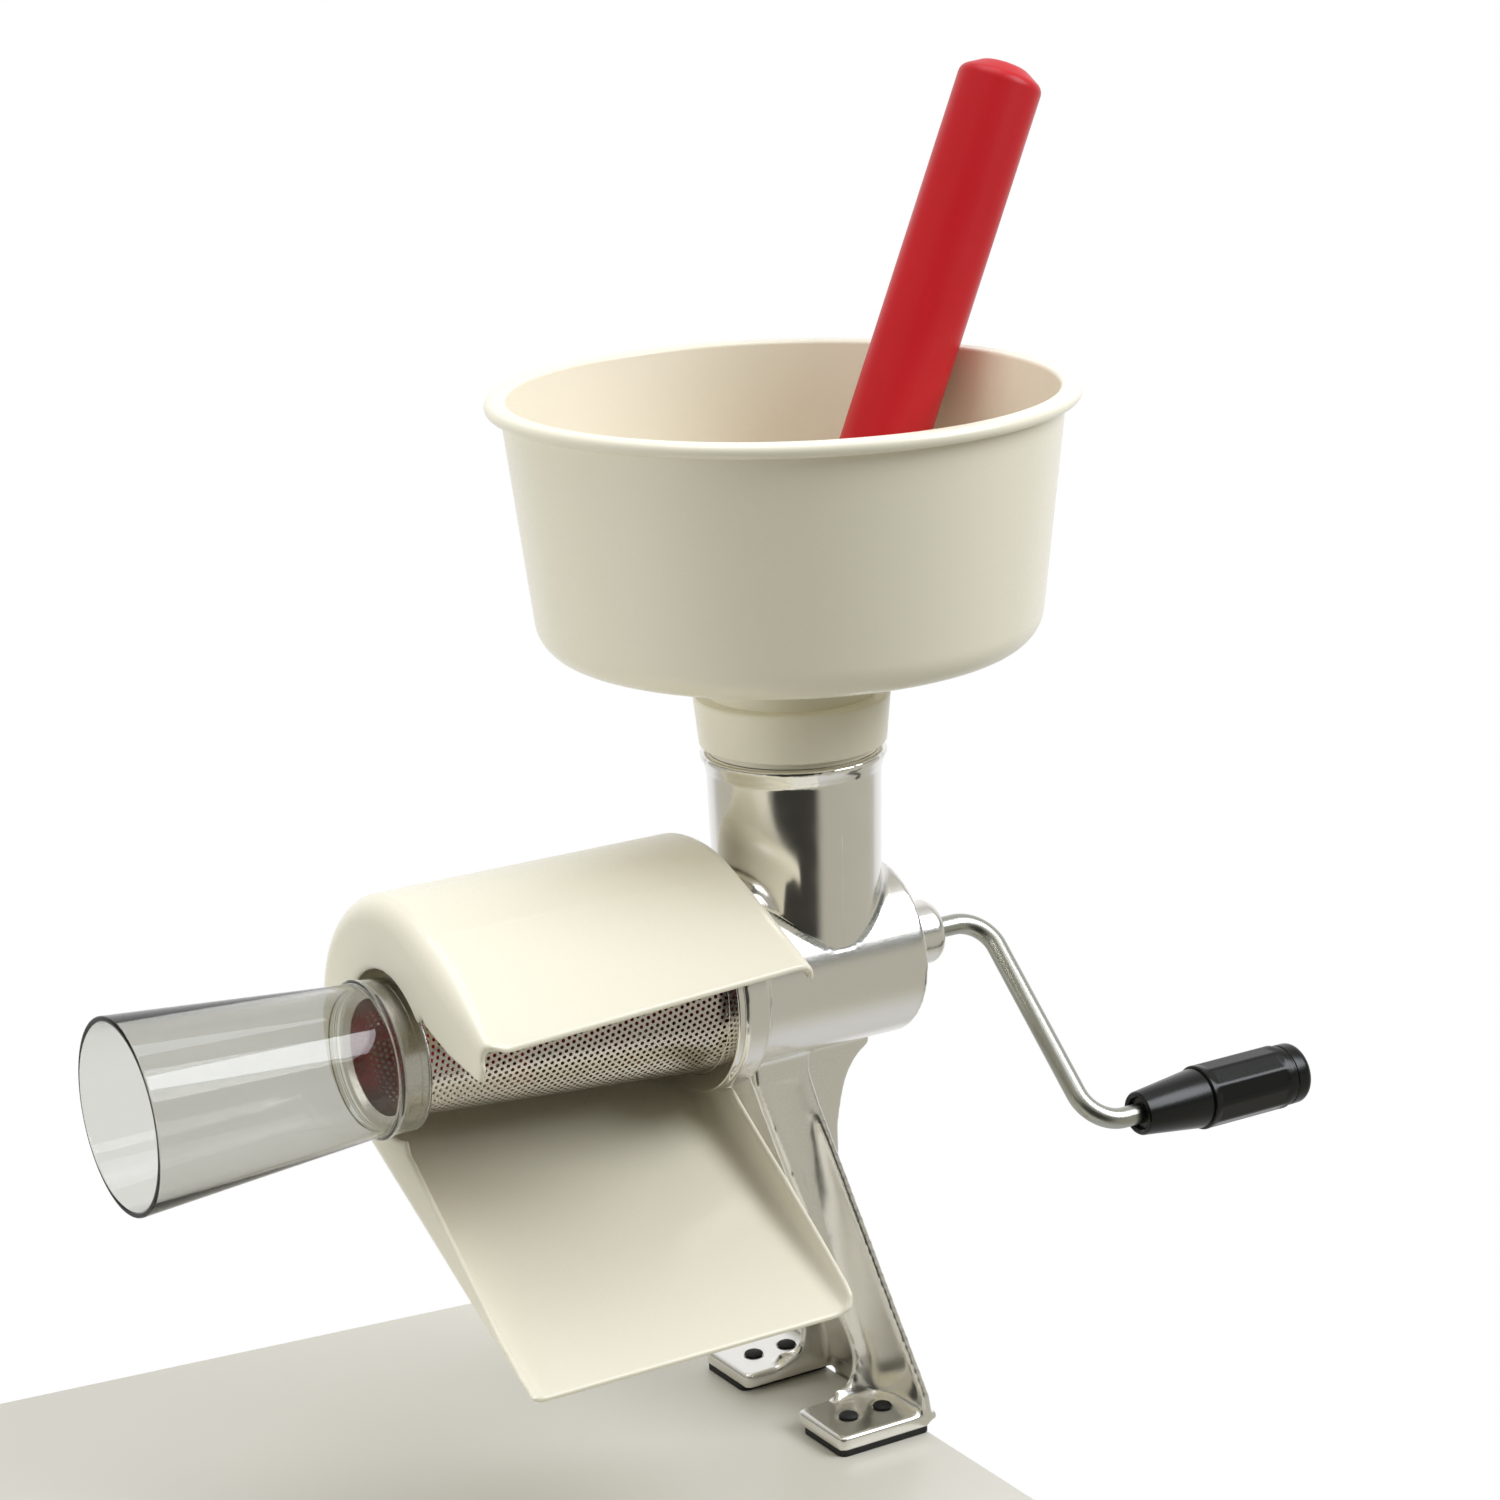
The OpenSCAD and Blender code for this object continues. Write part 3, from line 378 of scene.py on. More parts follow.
def broken_edges(node, width):
    """A copy of a CAD node with its sharp edges broken by a small round."""
    obj = copy_of(node, node)
    edited(obj.data, lambda work: bmesh.ops.dissolve_limit(work, angle_limit=math.radians(1), verts=work.verts,
                                                           edges=work.edges))
    bevel = obj.modifiers.new("edges", "BEVEL")
    bevel.width = width * MM
    bevel.segments = 2
    bevel.limit_method = "ANGLE"
    bevel.angle_limit = math.radians(40)
    return shaded(baked(obj))


def dress_plain(width, pieces):
    """Dresses CAD nodes with broken edges: pieces are pairs of a node and its finish."""
    for node, key in pieces:
        dressed(broken_edges(node, width), key, node)


def relax(mesh, rounds, outer, inner, even, crisp):
    """Smooths a mesh evenly, then by outer on edges and by inner in hollow corners; crisp weighs each point.

    Returns the points in metres and the way that each one faces.
    """
    count = len(mesh.vertices)
    at = points_of(mesh)
    edges = np.empty(len(mesh.edges) * 2, dtype=np.int64)
    mesh.edges.foreach_get("vertices", edges)
    a, b = edges.reshape(-1, 2).T
    near = np.maximum(np.bincount(a, minlength=count) + np.bincount(b, minlength=count), 1)[:, None]
    corners = np.empty(len(mesh.loops), dtype=np.int64)
    mesh.loops.foreach_get("vertex_index", corners)
    corners = corners.reshape(-1, 4)
    give, calm = crisp(at / MM) if crisp else (1.0, 1.0)
    for turn in range(even + rounds):
        p = at[corners]
        normal = np.cross(p[:, 2] - p[:, 0], p[:, 3] - p[:, 1])
        facing = np.stack([sum(np.bincount(corners[:, c], normal[:, k], count) for c in range(4))
                           for k in range(3)], 1)
        mean = np.stack([np.bincount(a, at[b, k], count) + np.bincount(b, at[a, k], count)
                         for k in range(3)], 1) / near
        shift = mean - at
        hollow = (shift * facing).sum(1) > 0
        at += shift * (0.5 * calm if turn < even else give * np.where(hollow, inner, outer)[:, None])
    return at, facing / np.maximum(np.linalg.norm(facing, axis=1), 1e-12)[:, None]


def true_up(at, facing, radius, along, span, centre=(0.0, 0.0), reach=0.3, slope=0.0):
    """Draws points near a cylinder, or a cone of some slope, onto it, in mm: along is 0 for X or 2 for Z."""
    across = [k for k in range(3) if k != along]
    off = at[:, across] - np.array(centre)
    far = np.maximum(np.hypot(*off.T), 1e-6)
    miss = radius + slope * (at[:, along] - span[0]) - far
    keep = np.clip(2 - 2 * np.abs(miss) / reach, 0, 1)
    edge = np.clip(at[:, along] - span[0], 0, 1) * np.clip(span[1] - at[:, along], 0, 1)
    square = np.clip((np.abs((facing[:, across] * off).sum(1) / far) - 0.9) / 0.06, 0, 1)
    at[:, across] += off * (miss / far * keep * edge * square)[:, None]


def on_barrel(radius, start, end, reach=0.3):
    """A cylinder on the barrel's axis for true_up."""
    return dict(radius=radius, along=0, centre=(0, AXIS_MM), span=(start, end), reach=reach)


def skin(name, node, spacing, rounds, outer, inner, cylinders, extras=(), shape=None, crisp=None, even=4):
    """Casts a node and the extras anew as one fine skin: rounded edges, filled corners, true cylinders."""
    obj = merged(copy_of(name, node), extras)
    remesh = obj.modifiers.new("skin", "REMESH")
    remesh.mode = "VOXEL"
    remesh.voxel_size = spacing
    baked(obj)
    if shape:
        shape(obj.data)
    at, facing = relax(obj.data, rounds, outer, inner, even, crisp)
    at /= MM
    for cylinder in cylinders:
        true_up(at, facing, **cylinder)
    move_points(obj.data, at)
    obj.data.shade_smooth()
    return obj


# -------- pieces

def bowl_radius(z):
    """Outer radius of the bowl's tapered wall at a height above the table, in mm."""
    foot, top = 90.2, 100.9
    return foot + (top - foot) * (z - BOWL_FLOOR) / (high("hopper_bowl", 2) - BOWL_FLOOR)


class DressBowl(bpy.types.Operator):
    """Turns the bowl with its rolled rim, and the collar that seats it on the neck"""

    bl_idname = "mill.dress_bowl"
    bl_label = "Bowl and collar"

    def execute(self, context):
        """Turns both pieces about the bowl's axis."""
        roll = context.scene.mill_sizes.rim_roll / MM
        rim, top = high("hopper_bowl", 1), high("hopper_bowl", 2)
        spout_end, neck_top = low("hopper_bowl", 2), high("body_casting", 2)
        collar_top = high("hopper_collar", 2)
        spout, throat, wall = 29.2, 30.5, 2.5
        floor, foot_radius = BOWL_FLOOR, bowl_radius(BOWL_FLOOR)
        bowl = turned("bowl", [
            (spout - wall, spout_end, 0.8), (spout, spout_end, 1.2), (spout, collar_top), (throat, collar_top),
            (throat, floor, 2), (foot_radius, floor, 14), (bowl_radius(top - roll), top - roll, 0.8),
            (rim, top - roll, roll / 2), (rim, top, roll / 2), (bowl_radius(top) - wall, top, 1.6),
            (foot_radius - wall, floor + wall, 12), (throat + 6, floor + wall, 4),
            (spout - wall, floor - 2.6, 3)], steps=192, step=8)
        dressed(shaded(bowl), "cream", "hopper_bowl")
        upper, low_radius, foot, low_z = high("hopper_collar", 0), 34.2, 31.2, collar_top - 18.6
        collar = turned("bowl_collar", [
            (spout, neck_top), (foot, neck_top, 0.3), (foot, low_z, 0.4), (low_radius, low_z, 1.1),
            (upper, collar_top - 1, 0.4), (upper - 0.6, collar_top, 0.8), (spout, collar_top)])
        dressed(shaded(collar), "cream", "hopper_collar")
        return {"FINISHED"}


class DressPlunger(bpy.types.Operator):
    """Turns the hollow plunger that leans in the bowl"""

    bl_idname = "mill.dress_plunger"
    bl_label = "Plunger"

    def execute(self, context):
        """Turns it along the way it is lifted."""
        radius, wall, length, dome = 16.0, 2.5, 203.9, 6.0
        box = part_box("plunger")
        lean = PLUNGER_WAY.to_track_quat("Z", "Y").to_matrix().to_4x4()
        foot = Vector(box[0]) + Vector((radius * MM * PLUNGER_WAY.z, radius * MM, 0))
        foot.z = box[0][2] + radius * MM * PLUNGER_WAY.x
        place = Matrix.Translation(foot) @ lean @ UPRIGHT
        plunger = turned("plunger", [
            (radius - wall, 0, 0.6), (radius, 0, 0.9), (radius, length - dome, 4.5),
            (radius * 0.5, length - 1.2, 9), (0, length), (0, length - 10),
            (radius - wall, length - 12, 4)], place)
        dressed(shaded(plunger), "red", "plunger")
        return {"FINISHED"}


class DressCasting(bpy.types.Operator):
    """Casts the barrel, neck, stand and clamp frame as one polished skin, and turns the seat ring"""

    bl_idname = "mill.dress_casting"
    bl_label = "Casting"
    barrel, ring, seat, hub, neck = 33.4, 39.0, 36.0, 12.1, 32.0
    taper, taper_from, taper_to = 1.6, 9.0, 76.0

    def execute(self, context):
        """Melts the casting's skin, then trues up what the foundry turns."""
        neck, slope = self.neck, self.taper / (self.taper_to - self.taper_from)
        casting = skin("casting", "body_casting", context.scene.mill_sizes.skin, 14, 0.22, 0.8, [
            on_barrel(self.barrel, -35, 36), on_barrel(self.barrel - 3, -39, 30),
            on_barrel(self.ring, -47, -34.5), on_barrel(self.seat, -47.5, -38), on_barrel(self.hub, 38, 57),
            dict(radius=neck - self.taper, along=2, reach=0.6, slope=slope,
                 span=(AXIS_MM + self.taper_from, AXIS_MM + self.taper_to)),
            dict(radius=neck - 2.5, along=2, span=(AXIS_MM + 20, AXIS_MM + 82.5)),
        ], self.coves(), self.meet_barrel, self.crisp, 12)
        dressed(casting, "casting", "body_casting")
        self.finish_faces(casting.data)
        seam = []
        for h in np.linspace(14.5, 66.0, 30):
            y = 0.25 - neck + self.draw_in(h)
            seam.append([(x, y + out, AXIS_MM + h) for x, out in ((-0.35, 0.5), (0, -0.35), (0.35, 0.5))])
        ride(dressed(grid("neck_seam", seam, closed=False, caps=True), "casting"), "body_casting")
        front, rear, rim, bore = low("seat_ring", 0), high("seat_ring", 0), high("seat_ring", 1), 32.38
        face = front + 2.6
        washer = turned("seat_ring", [
            (bore, front, 0.3), (rim, front, 0.6), (rim, face, 0.2), (self.seat, face), (self.seat, rear, 0.3),
            (bore, rear, 0.3)], ALONG_BARREL, 160)
        dressed(shaded(washer), "turned", "seat_ring")
        return {"FINISHED"}

    def draw_in(self, height):
        """How much the taper takes off the neck's radius, at heights above the barrel's axis in mm."""
        return self.taper * np.clip((self.taper_to - height) / (self.taper_to - self.taper_from), 0, 1)

    def meet_barrel(self, mesh):
        """Gives the neck its slight taper, down to the line where it meets the barrel."""
        at = points_of(mesh) / MM
        up = at[:, 2] - AXIS_MM
        far = np.maximum(np.hypot(at[:, 0], at[:, 1]), 1e-6)
        side = np.maximum(np.abs(at[:, 1]) / far, 1e-3)
        surface = np.sqrt(np.maximum(self.barrel ** 2 - up ** 2, 0)) / side
        wanted = np.minimum(np.maximum(far - self.draw_in(up), surface), far)
        near = np.clip((3.4 - np.abs(far - self.neck)) / 2.6, 0, 1) * (up > 4) * (up < self.taper_to)
        at[:, :2] *= (1 + (wanted / far - 1) * near)[:, None]
        move_points(mesh, at)

    @staticmethod
    def crisp(at):
        """Shares of the rounding and of the even smoothing that each point takes: hub and feet stay crisp."""
        give = np.clip((at[:, 2] - 9) / 4, 0.12, 1) * np.clip((46 - at[:, 0]) / 4, 0.12, 1)
        stand = np.clip((AXIS_MM - 37 - at[:, 2]) / 3, 0, 1) * np.clip((at[:, 2] - 10) / 4, 0, 1)
        return give[:, None], (0.3 + 0.7 * stand)[:, None]

    @staticmethod
    def coves():
        """Hollow curves from each web to the back plate and the foot, its plinth and its panel's beads."""
        start, foot, heel, bead = AXIS_MM - 33, 8.0, 18.0, 1.2
        made = []

        def web(z):
            """Outer face of the splayed web."""
            return 14 + 6.5 * (start - 3 - z) / (start - 3 - foot)

        def plate(z):
            """Front face of the leaning back plate."""
            return -10 + 28 * (start - z) / 130

        def loft(rings, side):
            """Adds one solid through the rings, mirrored for the side -1."""
            made.append(grid("cove", [[(x, side * y, z) for x, y, z in ring] for ring in rings],
                             closed=False, caps=True))

        def hollow(x, y, long, deep):
            """A corner at x and y, filled to a hollow curve: long towards -X and deep towards +Y."""
            arc = [(x - long + long * math.sin(t), y + deep - deep * math.cos(t))
                   for t in [math.pi / 16 * k for k in range(1, 8)]]
            return [(x - long, y - 1), (x - long, y), *arc, (x, y + deep), (x + 1, y + deep), (x + 1, y - 1)]

        def bar(x0, x1):
            """Section of a bead on the web, from x0 to x1."""
            return (x0, -0.5), (x0, bead), (x1, bead), (x1, -0.5)

        for side in (-1, 1):
            rings = []
            for z in np.linspace(foot - 1, start - 13, 24):
                flange = 10 + 39 * (start + 3 - z) / 133 - web(z) - 1.5
                room = plate(z) + 25 - 0.3205 * (start - 5 - max(z, 27))
                deep = min(max(flange, 0.05), 20.0)
                long = min(1.3 * deep, room + 1.5)
                rings.append([(x, y, z) for x, y in hollow(plate(z), web(z), long, deep)])
            loft(rings, side)
            plinth = soften([(-18.6, 17.5, 3), (21.7, 17.5, 3), (21.7, 49.0, 3), (-18.6, 49.0, 3)])
            loft([[(x, y, z) for x, y in plinth] for z in (2.0, 4.6)], side)
            loft([[(x, y, z) for x, z in hollow(heel, foot, 5.0, 5.0)] for y in (20.0, 46.5)], side)
            loft([[(x, 41.0 - y, z) for y, z in hollow(20.5, foot, 5.0, 5.0)] for x in (-3.0, 18.5)], side)
            loft([[(x, web(z) + out, z) for x, out in bar(-30.0, -5.5)]
                  for z in (start - 6.0, start + 2.5)], side)
            loft([[(plate(z) + x, web(z) + out, z) for x, out in bar(-2.5, 3.0)]
                  for z in (start - 22.0, start - 4.0)], side)
        return made

    def finish_faces(self, mesh):
        """Leaves the neck polished, the barrel ground, and the webs and feet tumbled."""
        mesh.materials.append(FINISHES["ground"])
        mesh.materials.append(FINISHES["tumbled"])
        at = np.empty(len(mesh.polygons) * 3)
        mesh.polygons.foreach_get("center", at)
        x, y, height = (at.reshape(-1, 3) / MM - (0, 0, AXIS_MM)).T
        on_neck = (height > 0) & (np.hypot(y, height) > self.barrel + 0.5) & (np.hypot(x, y) < self.neck + 4)
        kind = np.where(on_neck, 0, np.where(height < -self.barrel - 0.6, 2, 1))
        mesh.polygons.foreach_set("material_index", kind.astype(np.int32))


class DressChute(bpy.types.Operator):
    """Moulds the hood and tray as one skin with rounded lips and folds"""

    bl_idname = "mill.dress_chute"
    bl_label = "Hood and tray"

    def execute(self, context):
        """Melts the moulding's skin and trues up its crown."""
        crown, wall = 56.0, 2.5
        chute = skin("hood_and_tray", "chute", context.scene.mill_sizes.skin * 0.8, 12, 0.3, 0.6, [
            on_barrel(crown, -165, -43, 0.5), on_barrel(crown - wall, -165, -43, 0.5),
        ], self.collar(wall), self.drop_lip)
        dressed(chute, "cream", "chute")
        return {"FINISHED"}

    @staticmethod
    def collar(wall):
        """Closes the opening in the hood's end round the guard's narrow socket."""
        start = low("chute", 0)
        near, far, angles = 30.2, 38.0, np.radians(np.linspace(-109, 143, 64))
        outline = [(far, a) for a in angles] + [(near, a) for a in angles[::-1]]
        return [grid("collar", [[(x, r * math.cos(a), AXIS_MM + r * math.sin(a)) for r, a in outline]
                                for x in (start + 0.1, start + wall - 0.1)], closed=False, caps=True)]

    @staticmethod
    def drop_lip(mesh):
        """Lowers the hood's front lip, least at the barrel and most towards the guard."""
        start, end = low("chute", 0), high("chute", 0)
        least, more, blend_in, behind_lip = 1.5, 6.2, 13, -35
        at = points_of(mesh) / MM
        x, y, up = at[:, 0], at[:, 1], at[:, 2] - AXIS_MM
        inwards = np.clip((x - start + 3) / blend_in, 0, 1)
        outwards = np.clip((behind_lip - y) / 40, 0, 1) * (up > 8)
        drop = least + more * (end - x) / (end - start)
        at[:, 2] -= drop * inwards ** 2 * (3 - 2 * inwards) * outwards ** 2
        move_points(mesh, at)


def tube_radius(x):
    """Outer radius of the tapered tube at a place along the barrel, in mm."""
    return TUBE_NARROW + (TUBE_WIDE - TUBE_NARROW) * (x - TUBE_FRONT) / (TUBE_REAR - TUBE_FRONT)


def perforated(name, wall, start, end, hole):
    """A tapered tube rolled from flat sheet, with real holes in a triangular pattern, all in mm."""
    pitch, tilt = 2.42, 0.27
    slant = math.atan((tube_radius(end) - tube_radius(start)) / (end - start))
    narrow, wide = (tube_radius(x) / math.sin(slant) for x in (start, end))
    half = math.pi * math.sin(slant)
    first = (pitch * math.sin(tilt), pitch * math.cos(tilt))
    second = (-pitch * math.sin(math.pi / 3 - tilt), pitch * math.cos(math.pi / 3 - tilt))
    corners = [(1, 1), (-1, 2), (-2, 1), (-1, -1), (1, -2), (2, -1)]
    angles = [math.atan2(first[1], first[0]) + math.pi / 6 * (k + 1) for k in range(12)]
    points, known, faces = [], {}, []

    def spot(i, j, u=0.0, v=0.0):
        """Rolls up the point i and j thirds of a step along the flat pattern, moved by u and v."""
        u += (i * first[0] + j * second[0]) / 3
        v += (i * first[1] + j * second[1]) / 3
        out, turn = math.hypot(u, v), math.atan2(v, u) / math.sin(slant)
        radius = out * math.sin(slant)
        points.append((start + (out - narrow) * math.cos(slant), -radius * math.cos(turn),
                       radius * math.sin(turn)))
        return len(points) - 1

    def corner(i, j):
        """Index of a corner that neighbours share."""
        if (i, j) not in known:
            known[i, j] = spot(i, j)
        return known[i, j]

    most = math.ceil(1.2 * wide / pitch)
    for i in range(-most, most):
        for j in range(-most, most):
            u, v = i * first[0] + j * second[0], i * first[1] + j * second[1]
            out = math.hypot(u, v)
            if u < 0 or not narrow < out < wide or abs(math.atan2(v, u)) > half - 0.6 * pitch / out:
                continue
            edge = [corner(3 * i + a, 3 * j + b) for a, b in corners]
            rim = [spot(3 * i, 3 * j, hole / 2 * math.cos(a), hole / 2 * math.sin(a)) for a in angles]
            for k in range(6):
                faces.append((edge[k], edge[(k + 1) % 6], rim[(2 * k + 2) % 12], rim[2 * k + 1], rim[2 * k]))
    mesh = bpy.data.meshes.new(name)
    mesh.from_pydata(points, [], faces)

    def face_outwards(work):
        bmesh.ops.recalc_face_normals(work, faces=work.faces)
        if sum(face.normal.y * face.calc_center_median().y for face in work.faces) < 0:
            bmesh.ops.reverse_faces(work, faces=work.faces)

    edited(mesh, face_outwards)
    mesh.transform(Matrix.Translation((0, 0, AXIS_Z)) @ UPRIGHT)
    obj = link(name, mesh)
    solid = obj.modifiers.new("wall", "SOLIDIFY")
    solid.thickness = wall * MM
    solid.offset = -1
    return baked(obj)


class DressScreen(bpy.types.Operator):
    """Punches the tube's holes and turns its plain end bands"""

    bl_idname = "mill.dress_screen"
    bl_label = "Perforated tube"
    flare, band, wall, lap = 1.5, 25.0, 0.8, 0.05

    def execute(self, context):
        """Rolls the punched sheet, adds its unpunched ends and its seam, and turns its bands."""
        front, rear, margin = TUBE_FRONT + self.flare, TUBE_REAR, 6
        hole = context.scene.mill_sizes.hole_width / MM
        tube = perforated("punched_tube", self.wall, front + 1.5, rear - 1.5, hole)
        dressed(shaded(tube), "sheet", "screen_tube")
        for name, x0, x1 in (("front_margin", front, front + margin), ("rear_margin", rear - margin, rear)):
            inner, outer = [[(tube_radius(x) + out, x) for x in (x0, x1)]
                            for out in (-self.wall - self.lap, 0.04)]
            end = turned(name, [inner[0], outer[0], outer[1], inner[1]], ALONG_BARREL)
            ride(dressed(shaded(end), "sheet"), "screen_tube")
        self.make_seam(front + 3, rear - 3)
        x0, x1, out = low("screen_rear_band", 0), high("screen_rear_band", 0), high("screen_rear_band", 1)
        band = turned("rear_band", [(tube_radius(x0) + self.lap, x0), (out, x0, 0.25), (out, x1, 0.25),
                                    (tube_radius(x1) + self.lap, x1)], ALONG_BARREL)
        dressed(shaded(band), "turned", "screen_rear_band")
        self.make_front_band(front)
        return {"FINISHED"}

    def make_seam(self, front, rear):
        """Plain strip along the tube's far side, where the sheet's edges meet."""
        half, inside = 2.6, -self.wall - self.lap
        section = [(-half, inside), (-half, self.lap), (0, 0.12), (half, self.lap), (half, inside)]
        rings = []
        for x in (front, rear):
            radius = tube_radius(x)
            ring = []
            for across, out in section:
                turn, far = math.pi + across / radius, radius + out
                ring.append((x, far * -math.cos(turn), AXIS_MM + far * math.sin(turn)))
            rings.append(ring)
        ride(dressed(shaded(grid("tube_seam", rings, closed=False, caps=True)), "sheet"), "screen_tube")

    def make_front_band(self, front):
        """Front band with a raised bead and three low lugs for the guard."""
        x0, x1, out, bead, lug = TUBE_FRONT, TUBE_FRONT + 9, self.band, 0.3, (2.6, 4.4, 5, 1)
        start = tube_radius(front)
        band = turned("front_band", [
            (start + self.lap, front + 0.5), (start - 1, front), (out - 1.4, x0, 0.5), (out, x0, 0.3),
            (out, x1 - 3), (out + bead, x1 - 3), (out + bead, x1, 0.3), (tube_radius(x1) + self.lap, x1)],
            ALONG_BARREL)

        def add_lugs(work):
            for k in range(3):
                turn = Matrix.Rotation(math.radians(60 + 120 * k), 4, "Z")
                spot = turn @ Matrix.Translation((out - 0.85, 0, x0 + 4.5))
                bmesh.ops.create_cube(work, size=1, matrix=ALONG_BARREL @ spot @ Matrix.Diagonal(lug))

        edited(band.data, add_lugs)
        dressed(shaded(band), "sheet", "screen_front_band")


class DressAuger(bpy.types.Operator):
    """Sweeps the feed screw's flight round its core"""

    bl_idname = "mill.dress_auger"
    bl_label = "Feed screw"

    def execute(self, context):
        """Makes the core and the flight as one piece."""
        core, bore, pitch, half, recess, play, steps = 11.0, 6, 38.0, 1.6, 18.0, 1.2, 56
        front, rear = low("auger", 0) + recess, high("auger", 0)
        count = round((rear - front) / pitch * steps)
        rings = []
        for k in range(count + 1):
            x = front + (rear - front) * k / count
            turn = 2 * math.pi * (x - front) / pitch
            tip = min(tube_radius(max(x - half, front)) - play, high("auger", 1))
            section = soften([(core - 1, -half - 1), (core + 1.5, -half, 2), (tip, -half, 1.1),
                              (tip, half, 1.1), (core + 1.5, half, 2), (core - 1, half + 1)])
            edge = 2.7 * min(1, (x - front) / 4, (rear - x) / 4) + 0.001
            rings.append([(r * math.cos(turn), r * math.sin(turn), min(max(x + h * min(1, edge), front), rear))
                          for r, h in section])
        flight = grid("feed_screw", rings, ALONG_BARREL, closed=False, caps=True)
        shaft = turned("core", [(bore, front - 2), (core, front - 2, 2), (core, rear, 0.5), (bore, rear)],
                       ALONG_BARREL, 64)
        dressed(shaded(merged(flight, [shaft]), 50), "red", "auger")
        return {"FINISHED"}


class DressGuard(bpy.types.Operator):
    """Turns the clear end guard: its cone, flange and socket"""

    bl_idname = "mill.dress_guard"
    bl_label = "Clear guard"

    def execute(self, context):
        """Turns it along the barrel."""
        front, rear = low("squirt_guard", 0), high("squirt_guard", 0)
        mouth, neck, wall, socket, flange = 34.6, 27.0, 2.0, 27.6, 28.4
        face, bore, floor = rear - 12.5, 25.6, rear - 9.4
        guard = turned("clear_guard", [
            (mouth - wall, front, 0.7), (mouth, front, 0.7), (neck, face, 1.2), (flange, face, 0.9),
            (flange, face + 2, 0.6), (socket, face + 2, 0.5), (socket, rear, 0.5), (bore, rear, 0.4),
            (bore, floor, 0.2), (neck - wall, floor - 1, 0.3)], ALONG_BARREL, 160)
        dressed(shaded(guard), "clear", "squirt_guard")
        return {"FINISHED"}


def crank_path(bend_in, bend_out):
    """Centre line of the crank's rod in mm: along the barrel, out along the arm, and into the grip."""
    arm_x, reach = 82.0, math.hypot(GRIP_Y, GRIP_Z - AXIS_Z) / MM
    quarter = [math.radians(90 * k / 16) for k in range(17)]
    path = [(low("crank_rod", 0), 0.0)]
    path += [(arm_x - bend_in + bend_in * math.sin(a), bend_in - bend_in * math.cos(a)) for a in quarter]
    path += [(arm_x + bend_out - bend_out * math.cos(a), reach - bend_out + bend_out * math.sin(a))
             for a in quarter]
    return path + [(high("crank_rod", 0), reach)]


class DressCrank(bpy.types.Operator):
    """Bends the crank's rod and makes its grip, washer and cap"""

    bl_idname = "mill.dress_crank"
    bl_label = "Crank"

    def execute(self, context):
        """Sweeps the rod along its path, then turns the grip."""
        radius = context.scene.mill_sizes.rod / MM
        path = [Vector(point) for point in crank_path(bend_in=13.0, bend_out=14.0)]
        rings = []
        for i, point in enumerate(path):
            way = (path[min(i + 1, len(path) - 1)] - path[max(i - 1, 0)]).normalized()
            side = Vector((-way.y, way.x))
            rings.append([(*(point + side * radius * math.cos(a)), radius * math.sin(a)) for a in circle(40)])
        turn = Matrix.Rotation(math.atan2(GRIP_Z - AXIS_Z, GRIP_Y), 4, "X")
        rod = grid("crank_rod", rings, Matrix.Translation((0, 0, AXIS_Z)) @ turn @ UPRIGHT, False, True)
        dressed(shaded(rod), "plated", "crank_rod")
        self.make_grip()
        dress_plain(0.2, [("grip_washer", "zinc")])
        x0, x1, out = low("grip_cap", 0), high("grip_cap", 0), 11.6
        cap = turned("grip_cap", [
            (7.6, x0), (out, x0, 0.3), (out, x0 + 2.0, 0.2), (out - 0.35, x0 + 2.3), (out - 0.35, x0 + 2.8),
            (out, x0 + 3.1, 0.2), (out, x1, 3.2), (0, x1), (0, x1 - 3), (7.6, x1 - 3, 1)], ALONG_GRIP)
        dressed(shaded(cap), "black", "grip_cap")
        return {"FINISHED"}

    def make_grip(self):
        """Grip with a conical front and long flats pressed into its sleeve."""
        x0, x1 = low("crank_grip", 0), high("crank_grip", 0)
        sleeve, front, cone, out, bore = x0 + 28, 8.25, 11.35, 12.2, 3.98
        flats, apothem, flat_from, flat_to = 10, 11.75, sleeve + 2, x1 - 1.5
        outline = [(bore, x0 + 2), (front - 2, x0 + 2), (front - 2, x0 + 0.6), (front - 1.2, x0),
                   (front - 0.5, x0 + 0.1), (front, x0 + 0.8), (cone, sleeve - 1), (cone - 0.1, sleeve - 0.4),
                   (cone - 0.1, sleeve), (out - 0.3, sleeve + 0.1), (out, sleeve + 0.5)]
        outline += [(out, x) for x in np.linspace(flat_from - 0.6, flat_to + 0.6, 40)]
        outline += [(out, x1 - 0.3), (out - 0.3, x1), (7.6, x1), (7.6, x1 - 3.6), (bore, x1 - 3.6)]
        rings = []
        for r, x in outline:
            ring = []
            depth = min(max(min(x - flat_from, flat_to - x) / 1.2, 0), 1)
            for a in circle(160):
                off = (a + math.pi / flats) % (2 * math.pi / flats) - math.pi / flats
                flat = min(r, apothem / math.cos(off))
                reach = r + (flat - r) * depth if r > cone else r
                ring.append((reach * math.cos(a), reach * math.sin(a), x))
            rings.append(ring)
        grip = grid("crank_grip", rings, ALONG_GRIP)
        dressed(shaded(grip, 25), "black", "crank_grip")


class DressFeet(bpy.types.Operator):
    """Breaks the edges of the rubber pads and their pegs"""

    bl_idname = "mill.dress_feet"
    bl_label = "Rubber feet"

    def execute(self, context):
        """Dresses the near and the far pad."""
        dress_plain(0.5, [("foot_pad_near", "rubber"), ("foot_pad_far", "rubber")])
        return {"FINISHED"}


